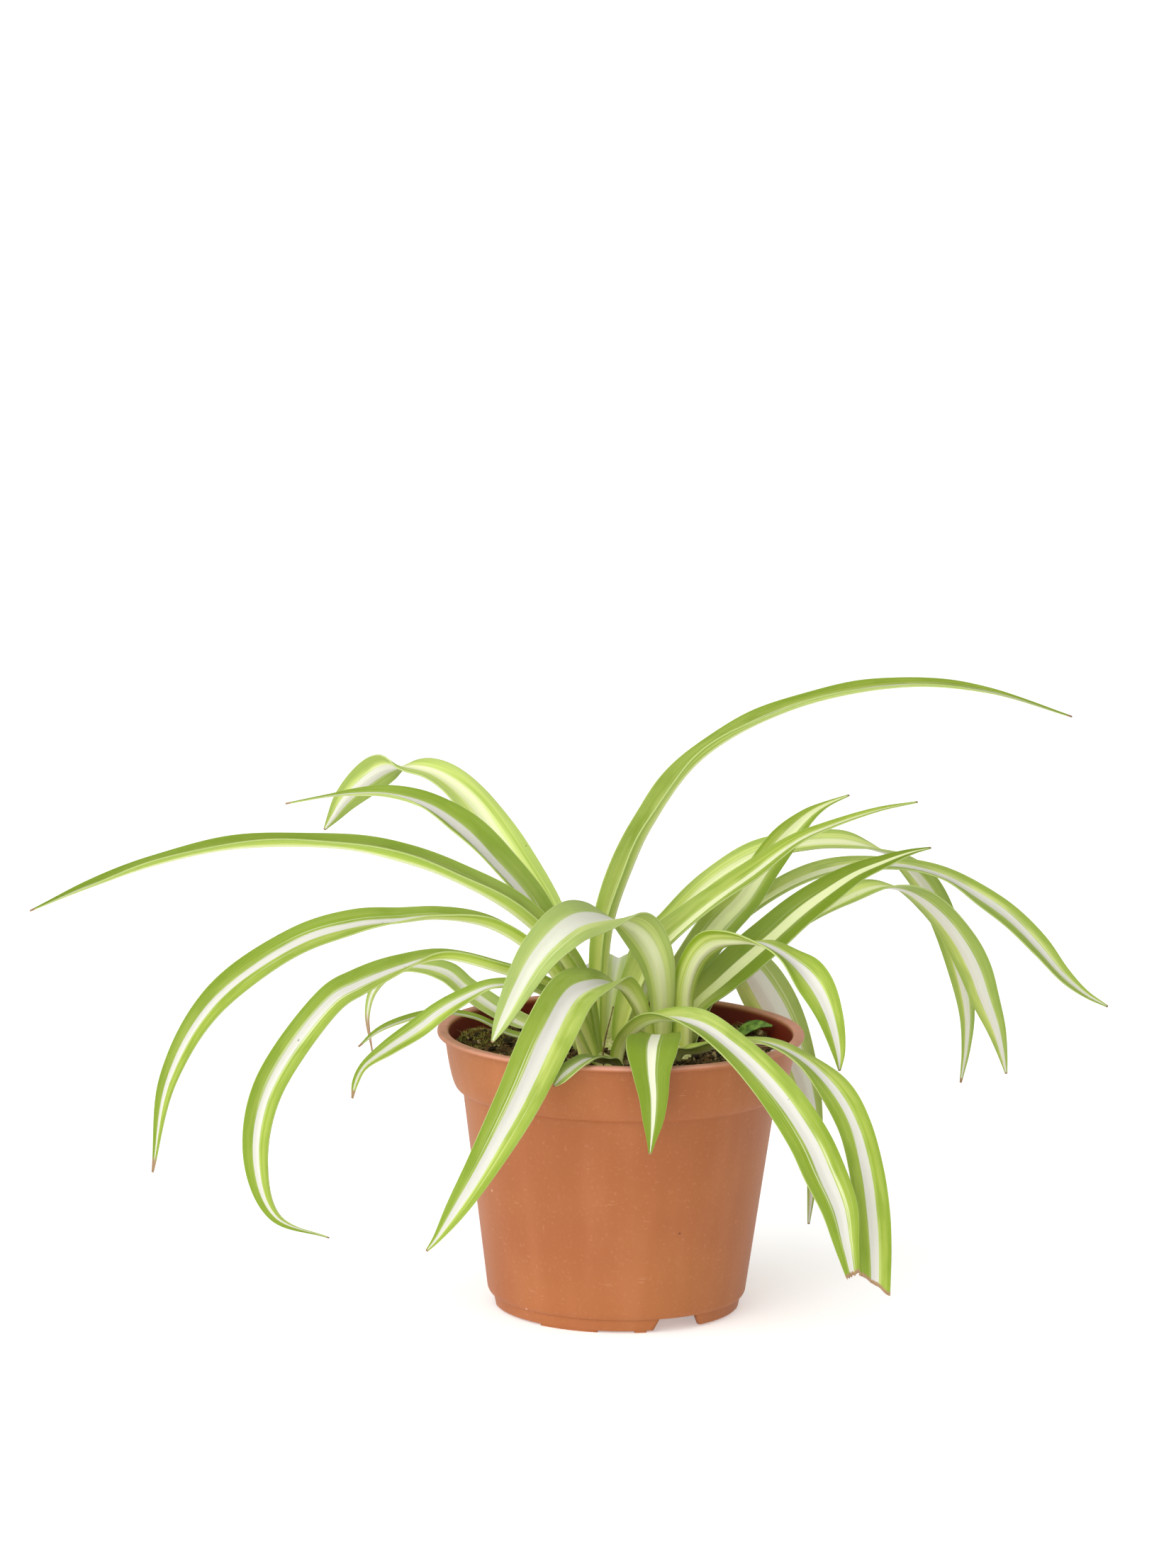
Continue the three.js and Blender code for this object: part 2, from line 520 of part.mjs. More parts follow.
function potSolid() {
  const outline = [
    [0, LIP_HEIGHT],
    ...POT_FACE,
    [RIM_RADIUS - 0.3, RIM_TOP - RIM_FLANGE],
    [RIM_RADIUS, RIM_TOP - RIM_FLANGE + 0.3],
    [RIM_RADIUS, RIM_TOP - 0.4],
    [RIM_RADIUS - 0.4, RIM_TOP],
    [BAND_TOP_RADIUS - WALL + 0.4, RIM_TOP],
    ...POT_BORE.slice().reverse(),
    [0, FLOOR_TOP],
  ];
  let pot = turned(outline, POT_SIDES);
  const sunk = LIP_HEIGHT + 0.8; // the foot reaches this far up, into the floor
  const foot = turned(
    [[FOOT_INNER, FOOT_BOTTOM], [FOOT_LOW_OUTER, FOOT_BOTTOM], [FOOT_OUTER, sunk],
      [FOOT_INNER, sunk]],
    POT_SIDES,
  );
  const notchRing = (z, width) => [
    [FOOT_INNER - 6, -width / 2, z], [FOOT_OUTER + 6, -width / 2, z],
    [FOOT_OUTER + 6, width / 2, z], [FOOT_INNER - 6, width / 2, z],
  ];
  const notches = NOTCH_ANGLES.map((angle) =>
    skin([notchRing(0, NOTCH_LOW_WIDTH), notchRing(LIP_HEIGHT, NOTCH_TOP_WIDTH)])
      .rotate([0, 0, angle]));
  const pads = [];
  const padRing = turned(
    [[FOOT_INNER + 0.3, 0], [FOOT_LOW_OUTER - 0.3, 0], [FOOT_LOW_OUTER - 0.3, FOOT_BOTTOM + 0.5],
      [FOOT_INNER + 0.3, FOOT_BOTTOM + 0.5]],
    POT_SIDES,
  );
  for (const [start, end] of PAD_SPANS) {
    const reach = FOOT_OUTER * 1.5;
    const corners = [[0, 0], [reach, start], [reach, (start + end) / 2], [reach, end]];
    const ring = (z) => corners.map(([radius, angle]) =>
      [radius * Math.cos(radians(angle)), radius * Math.sin(radians(angle)), z]);
    const wedge = skin([ring(-1), ring(FOOT_BOTTOM + 2)]);
    for (const turn of [0, 120, 240]) pads.push(padRing.intersect(wedge.rotate([0, 0, turn])));
  }
  pot = pot.add(notches.reduce((ring, notch) => ring.subtract(notch), foot));
  pot = pads.reduce((body, pad) => body.add(pad), pot);
  pot = pot.add(turned([[0, 0], [CENTRE_PAD_RADIUS, 0], [CENTRE_PAD_RADIUS + 1.5, sunk],
    [0, sunk]], 36));
  for (let i = 0; i < DRAIN_COUNT; i++) {
    const angle = radians((360 / DRAIN_COUNT) * (i + 0.5));
    const [x, y] = [DRAIN_RING * Math.cos(angle), DRAIN_RING * Math.sin(angle)];
    pot = pot.subtract(bar([x, y, 2], [x, y, FLOOR_TOP + 2], [DRAIN_RADIUS, DRAIN_RADIUS], 20));
  }
  return pot;
}

// ---------------------------------------------------------------- soil, crowns and debris

// Height of the soil's surface.
function soilHeight(x, y) {
  let z = SOIL_TOP;
  z += SOIL_GRAIN * Math.sin(0.31 * x + 1) * Math.cos(0.27 * y);
  z += 0.7 * SOIL_GRAIN * Math.sin(0.55 * x - 0.41 * y + 2);
  for (const [mx, my, radius, height] of SOIL_MOUNDS) {
    z += height * (1 - smooth(0, radius, Math.hypot(x - mx, y - my)));
  }
  return z;
}

// Radius of the pot's inner face at a height.
function boreRadius(z) {
  let i = 0;
  while (i < POT_BORE.length - 2 && z > POT_BORE[i + 1][1]) i++;
  const [[r0, z0], [r1, z1]] = [POT_BORE[i], POT_BORE[i + 1]];
  return r0 + ((r1 - r0) * (z - z0)) / (z1 - z0);
}

// The soil: rings up the side along the pot's bore, then rings inwards over the surface.
function soilSolid() {
  const rings = [];
  const ring = (radius, height) => Array.from({ length: SOIL_SIDES }, (_, j) => {
    const angle = (2 * Math.PI * j) / SOIL_SIDES;
    const [x, y] = [radius * Math.cos(angle), radius * Math.sin(angle)];
    return [x, y, height(x, y)];
  });
  const shrink = CLEARANCE / Math.cos(Math.PI / POT_SIDES) + 0.1;
  const sideHeights = [FLOOR_TOP + CLEARANCE, BAND_STEP + 0.6 - CLEARANCE,
    BAND_STEP + 2.2, BAND_STEP + 5, BAND_STEP + 9];
  for (const z of sideHeights) rings.push(ring(boreRadius(z) - shrink - 0.15, () => z));
  const edge = boreRadius(SOIL_TOP) - shrink - 0.15;
  for (let i = 0; i <= SOIL_RINGS; i++) {
    const radius = Math.max(edge * (1 - i / SOIL_RINGS), 0.8);
    rings.push(ring(radius, soilHeight));
  }
  return skin(rings);
}

function rootEnd(crown, direction, length) {
  const [x, y] = crown.at;
  const flat = length * Math.cos(radians(ROOT_DROP));
  return [
    x + flat * Math.cos(radians(direction)),
    y + flat * Math.sin(radians(direction)),
    CROWN_BOTTOM + 6 - length * Math.sin(radians(ROOT_DROP)),
  ];
}

// A crown with its fleshy roots, grown by `extra` on every side.
function crownSolid(crown, extra) {
  const [x, y] = crown.at;
  const radius = crown.radius + extra;
  let body = turned(
    [[0, CROWN_BOTTOM - extra], [radius * 0.72, CROWN_BOTTOM - extra],
      [radius * 0.96, CROWN_BOTTOM + 7], [radius, CROWN_SHOULDER + extra],
      [radius * 0.78, CROWN_TOP + extra - 1.2], [0, CROWN_TOP + extra]],
    CROWN_SIDES,
  ).translate([x, y, 0]);
  for (const direction of crown.roots) {
    const from = [x, y, CROWN_BOTTOM + 6];
    const to = rootEnd(crown, direction, ROOT_LENGTH + extra);
    body = body.add(bar(from, to, [ROOT_RADIUS + extra, 0.8 + extra], 10));
  }
  return body;
}

// A lump with uneven corners: a ball of few faces, pushed in and out by a fixed wave.
function lump(at, radii) {
  const geometry = mergeVertices(
    new THREE.IcosahedronGeometry(1, 1).deleteAttribute("normal").deleteAttribute("uv"));
  const position = geometry.getAttribute("position");
  const vertices = [];
  for (let i = 0; i < position.count; i++) {
    const [x, y, z] = [position.getX(i), position.getY(i), position.getZ(i)];
    const push = 1 + 0.13 * Math.sin(5 * x + 3 * y) + 0.1 * Math.cos(4 * z + 2 * x);
    vertices.push([at[0] + x * push * radii[0], at[1] + y * push * radii[1],
      at[2] + z * push * radii[2]]);
  }
  const index = Array.from(geometry.index.array);
  const triangles = [];
  for (let i = 0; i < index.length; i += 3) triangles.push(index.slice(i, i + 3));
  return solid(vertices, triangles);
}

// The dry flower stalk: a thin bar through its points.
function stalkSolid(extra) {
  let stalk = null;
  for (let i = 0; i + 1 < STALK.path.length; i++) {
    const radius = STALK.radius + extra;
    const piece = bar(STALK.path[i], STALK.path[i + 1], [radius, radius], 8);
    stalk = stalk ? stalk.add(piece) : piece;
  }
  return stalk;
}

// ---------------------------------------------------------------- the group

const group = new THREE.Group();
group.name = "potted_spider_plant";

function addNode(name, shape, colour, roughness) {
  const mesh = shape.getMesh();
  const geometry = new THREE.BufferGeometry();
  const position = new Float32Array(mesh.numVert * 3);
  for (let i = 0; i < mesh.numVert; i++) {
    const row = i * mesh.numProp;
    position.set(mesh.vertProperties.subarray(row, row + 3), i * 3);
  }
  geometry.setAttribute("position", new THREE.BufferAttribute(position, 3));
  geometry.setIndex(new THREE.BufferAttribute(mesh.triVerts, 1));
  geometry.computeVertexNormals();
  const material = new THREE.MeshStandardMaterial({ color: colour, roughness });
  material.name = name;
  material.flatShading = true;
  const node = new THREE.Mesh(geometry, material);
  node.name = name;
  group.add(node);
}

const slots = LEAVES.map(leafSlot);
const stalkHole = stalkSolid(CLEARANCE);
const cutAll = (body, tools) => tools.reduce((rest, tool) => rest.subtract(tool), body);

const pot = potSolid();
addNode("pot", pot, COLOUR.pot, 0.5);

let soil = soilSolid();
soil = cutAll(soil, CROWNS.map((crown) => crownSolid(crown, CLEARANCE)));
soil = cutAll(soil, [...slots, stalkHole]);
const weed = leafSolid(WEED);
soil = largest(soil.subtract(leafSlot(WEED)));
addNode("soil", soil, COLOUR.soil, 0.95);

for (const crown of CROWNS) {
  const body = largest(cutAll(crownSolid(crown, 0), [...slots, stalkHole]));
  addNode(crown.name, body, COLOUR.crown, 0.6);
}

for (const leaf of LEAVES) addNode(leaf.name, leafSolid(leaf), COLOUR.leaf, 0.45);

// Loose things rest on the soil, a little sunk in it and cut to its shape with the clearance
// between.
const soilAbove = soil.translate([0, 0, CLEARANCE]);
const onSoil = ([x, y], above) => [x, y, soilHeight(x, y) + above];
addNode("dry_stalk", stalkSolid(0), COLOUR.stalk, 0.9);
addNode("weed_leaf", weed, COLOUR.weed, 0.5);
const chip = bar(onSoil(CHIP.from, CHIP.radius * 0.7), onSoil(CHIP.to, CHIP.radius * 0.7),
  [CHIP.radius, CHIP.radius * 0.8], 7);
addNode("bark_chip", largest(chip.subtract(soilAbove)), COLOUR.chip, 0.9);
const perlite = lump(onSoil(PERLITE.at, PERLITE.radius * 0.5),
  [PERLITE.radius, PERLITE.radius, PERLITE.radius * 0.8]);
addNode("perlite_grain", largest(perlite.subtract(soilAbove)), COLOUR.perlite, 0.9);

export default group;
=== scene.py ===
"""The potted spider plant's looks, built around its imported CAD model.

Lengths in the tables are millimetres, turned to metres by MM. The leaves repeat the paths of
the CAD blades. +Z is up, -Y faces the camera, the origin is under the pot.
"""

from functools import partial, reduce

import bpy
import numpy as np
from mathutils import Euler, Matrix, Vector


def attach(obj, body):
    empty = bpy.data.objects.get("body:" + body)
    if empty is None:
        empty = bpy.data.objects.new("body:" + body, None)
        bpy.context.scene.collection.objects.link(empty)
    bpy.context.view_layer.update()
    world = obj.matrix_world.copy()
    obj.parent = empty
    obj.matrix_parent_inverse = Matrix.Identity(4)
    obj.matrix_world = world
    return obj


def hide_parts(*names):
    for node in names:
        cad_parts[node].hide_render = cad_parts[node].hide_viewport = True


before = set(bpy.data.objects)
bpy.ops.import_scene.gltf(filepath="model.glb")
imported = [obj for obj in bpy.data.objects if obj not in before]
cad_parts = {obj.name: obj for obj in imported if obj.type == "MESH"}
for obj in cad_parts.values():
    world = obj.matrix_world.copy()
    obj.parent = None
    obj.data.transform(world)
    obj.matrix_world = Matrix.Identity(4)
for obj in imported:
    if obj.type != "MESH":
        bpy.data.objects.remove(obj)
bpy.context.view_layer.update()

MM = 0.001


def link(name, data):
    """Puts an object with that data in the scene."""
    thing = bpy.data.objects.new(name, data)
    bpy.context.scene.collection.objects.link(thing)
    return thing


# ------------------------------------------------------------------ camera and light

CAMERA_AT = (0, -2.100, 0.532)
CAMERA_YAW = -0.0057  # radians, to the right of +Y
CAMERA_DOWN = 0.1692
CAMERA_ROLL = 0.016
LENS_MM = 150.5
SENSOR_MM = 36  # along the picture's long side


def place_camera():
    """A camera that looks along +Y, dipped and slightly rolled, with no shift or focus blur."""
    data = bpy.data.cameras.new("camera")
    data.sensor_fit = "VERTICAL"
    data.sensor_height = SENSOR_MM
    data.lens = LENS_MM
    data.clip_start = 0.05
    data.clip_end = 50
    camera = link("camera", data)
    turn = Euler((np.pi / 2 - CAMERA_DOWN, 0, -CAMERA_YAW)).to_matrix()
    turn = (turn @ Matrix.Rotation(CAMERA_ROLL, 3, "Z")).to_4x4()
    camera.matrix_world = Matrix.Translation(CAMERA_AT) @ turn
    bpy.context.scene.camera = camera


# Round area lights: name, place, width in metres, power in watts and colour.
LIGHTS = [
    ("key_left", (-1.7, -1.4, 1.0), 2.2, 11, (1, 0.98, 0.95)),
    ("front", (-0.8, -2.1, 0.8), 2.0, 14, (1, 1, 1)),
    ("top", (-0.2, -0.5, 2.2), 1.6, 7, (1, 1, 1)),
]
LIGHTS_FACE = (0, 0, 0.1)
# The room is white all round, and brighter over a wide patch before the plant.
ROOM_LIGHT = 0.6
PATCH_LIGHT = 0.9
PATCH_TOWARDS = (-0.62, -0.68, 0.34)
PATCH_EDGES = (0.5, 0.95)  # cosines from its direction where it starts and is full


def place_lights():
    """The lights, and a white room whose light swells towards the patch."""
    for name, at, width, power, tint in LIGHTS:
        data = bpy.data.lights.new(name, "AREA")
        data.shape = "DISK"
        data.size = width
        data.energy = power
        data.color = tint
        aim = Vector(LIGHTS_FACE) - Vector(at)
        turn = aim.to_track_quat("-Z", "Y").to_matrix().to_4x4()
        link(name, data).matrix_world = Matrix.Translation(at) @ turn
    world = bpy.data.worlds.new("studio")
    bpy.context.scene.world = world
    world.use_nodes = True
    g = Graph(world.node_tree)
    way = g.put("ShaderNodeTexCoord", output="Generated")
    nearness = g.put("ShaderNodeVectorMath", {0: way, 1: Vector(PATCH_TOWARDS).normalized()},
                     "Value", operation="DOT_PRODUCT")
    patch = g.step(*PATCH_EDGES, nearness)
    background = world.node_tree.nodes["Background"]
    background.inputs["Color"].default_value = (1, 1, 1, 1)
    g.join(g.plus(ROOM_LIGHT, g.times(patch, PATCH_LIGHT)), background.inputs["Strength"])


# ------------------------------------------------------------------ numbers and meshes

LATTICE = 64  # corners to a side before the random heights repeat


def smooth(a, b, x):
    """A step from 0 at a to 1 at b, level at both ends."""
    t = np.clip((x - a) / (b - a), 0, 1)
    return t * t * (3 - 2 * t)


def unit(vectors):
    """The vectors scaled to length 1."""
    return vectors / np.linalg.norm(vectors, axis=-1, keepdims=True)


def circle(sides):
    """Angles evenly round a circle."""
    return np.linspace(0, 2 * np.pi, sides, endpoint=False)


def polar(radius, angle, z):
    """Points at a radius, an angle about Z and a height."""
    x, y = radius * np.cos(angle), radius * np.sin(angle)
    return np.stack([x, y, z + 0 * x], -1)


def waves(x, y, size, seed):
    """Smooth random heights from -1 to 1: values on a square lattice with cells of that size,
    blended between the four nearest corners by smooth steps."""
    table = np.random.default_rng(seed).uniform(-1, 1, (LATTICE, LATTICE))
    gx, gy = np.asarray(x) / size, np.asarray(y) / size
    ix, iy = np.floor(gx).astype(int), np.floor(gy).astype(int)
    tx, ty = smooth(0, 1, gx - ix), smooth(0, 1, gy - iy)

    def along_row(row):
        row = row % LATTICE
        return table[ix % LATTICE, row] * (1 - tx) + table[(ix + 1) % LATTICE, row] * tx

    return along_row(iy) * (1 - ty) + along_row(iy + 1) * ty


def build_mesh(name, points, face_sets, flat=False, **vectors):
    """A mesh from an (n, 3) array of points in metres and arrays of faces, each array with one
    number of corners per face. The vectors become attributes of its points; a plain row of
    numbers fills all three parts."""
    mesh = bpy.data.meshes.new(name)
    points = np.ascontiguousarray(points, dtype=np.float32)
    loops = np.concatenate([faces.ravel() for faces in face_sets]).astype(np.int32)
    sizes = np.concatenate([np.full(len(faces), faces.shape[1]) for faces in face_sets])
    starts = np.concatenate([[0], np.cumsum(sizes)[:-1]]).astype(np.int32)
    mesh.vertices.add(len(points))
    mesh.vertices.foreach_set("co", points.ravel())
    mesh.loops.add(len(loops))
    mesh.loops.foreach_set("vertex_index", loops)
    mesh.polygons.add(len(sizes))
    mesh.polygons.foreach_set("loop_start", starts)
    mesh.polygons.foreach_set("use_smooth", np.full(len(sizes), not flat))
    mesh.update(calc_edges=True)
    mesh.validate()
    for key, values in vectors.items():
        if values.ndim == 1:
            values = np.stack([values] * 3, -1)
        layer = mesh.attributes.new(key, "FLOAT_VECTOR", "POINT")
        layer.data.foreach_set("vector", np.ascontiguousarray(values, dtype=np.float32).ravel())
    return mesh


def add_piece(name, points, face_sets, material, slot, node, **more):
    """Puts a mesh, given in mm, in the scene as a piece that rides on the root and stands for
    that node."""
    mesh = build_mesh(name, points * MM, face_sets, **more)
    mesh.materials.append(material)
    piece = link(name, mesh)
    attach(piece, "root")
    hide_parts(node)


def grid_faces(rows, columns, first=0, around=False, looped=False):
    """Quads over a grid of points numbered row by row. around joins the last column to the
    first, and looped the last row to the first."""
    i = np.arange(rows if looped else rows - 1)[:, None]
    j = np.arange(columns if around else columns - 1)[None, :]
    row, next_row, next_column = i * columns, (i + 1) % rows * columns, (j + 1) % columns
    corners = [row + j, row + next_column, next_row + next_column, next_row + j]
    return np.stack(corners, -1).reshape(-1, 4) + first


def fan_faces(ring, centre):
    """Triangles from a centre point to a ring of point numbers, facing along the ring's
    right-hand axis."""
    ring = np.asarray(ring)
    return np.stack([ring, np.roll(ring, -1), np.full(len(ring), centre)], -1)


def capped(grid, centres, reverse=False):
    """The skin of a tube from a grid of points, with rows along it and columns round it. Each
    end is closed by a fan about its centre. reverse turns every face round."""
    rows, columns = grid.shape[:2]
    count = rows * columns
    ring = np.arange(columns)
    ends = np.concatenate([fan_faces(ring[::-1], count),
                           fan_faces(ring + count - columns, count + 1)])
    turn = -1 if reverse else 1
    faces = grid_faces(rows, columns, around=True)
    return np.concatenate([grid.reshape(-1, 3), centres]), [faces[:, ::turn], ends[:, ::turn]]


def repeated(faces, count, step):
    """The same faces for each of count shapes with step points."""
    every = faces[None] + (np.arange(count) * step)[:, None, None]
    return every.reshape(-1, faces.shape[1])


def join_parts(parts):
    """One list of points and faces from several: each part is points and its face arrays."""
    points, quads, triangles, first = [], [], [], 0
    for part_points, face_sets in parts:
        points.append(part_points)
        for faces in face_sets:
            (quads if faces.shape[1] == 4 else triangles).append(faces + first)
        first += len(part_points)
    return np.concatenate(points), [np.concatenate(s) for s in (quads, triangles) if s]


EASE_MOST = 0.48  # of a side, taken by the easing of either corner


def rounded(corners, steps):
    """A closed outline with its corners eased: each row of corners is radius, height and the
    length of the easing, and each corner becomes a curve between points that far to either
    side, bent towards the corner."""
    corners = np.asarray(corners, float)
    spot, ease = corners[:, :2], corners[:, 2:]

    def eased(neighbour):
        way = neighbour - spot
        length = np.linalg.norm(way, axis=1)[:, None]
        return spot + way / length * np.minimum(ease, EASE_MOST * length)

    start, end = eased(np.roll(spot, 1, 0)), eased(np.roll(spot, -1, 0))
    t = np.linspace(0, 1, steps)[None, :, None]
    curve = (1 - t) ** 2 * start[:, None] + 2 * t * (1 - t) * spot[:, None] + t**2 * end[:, None]
    return curve.reshape(-1, 2)


# ------------------------------------------------------------------ the blades

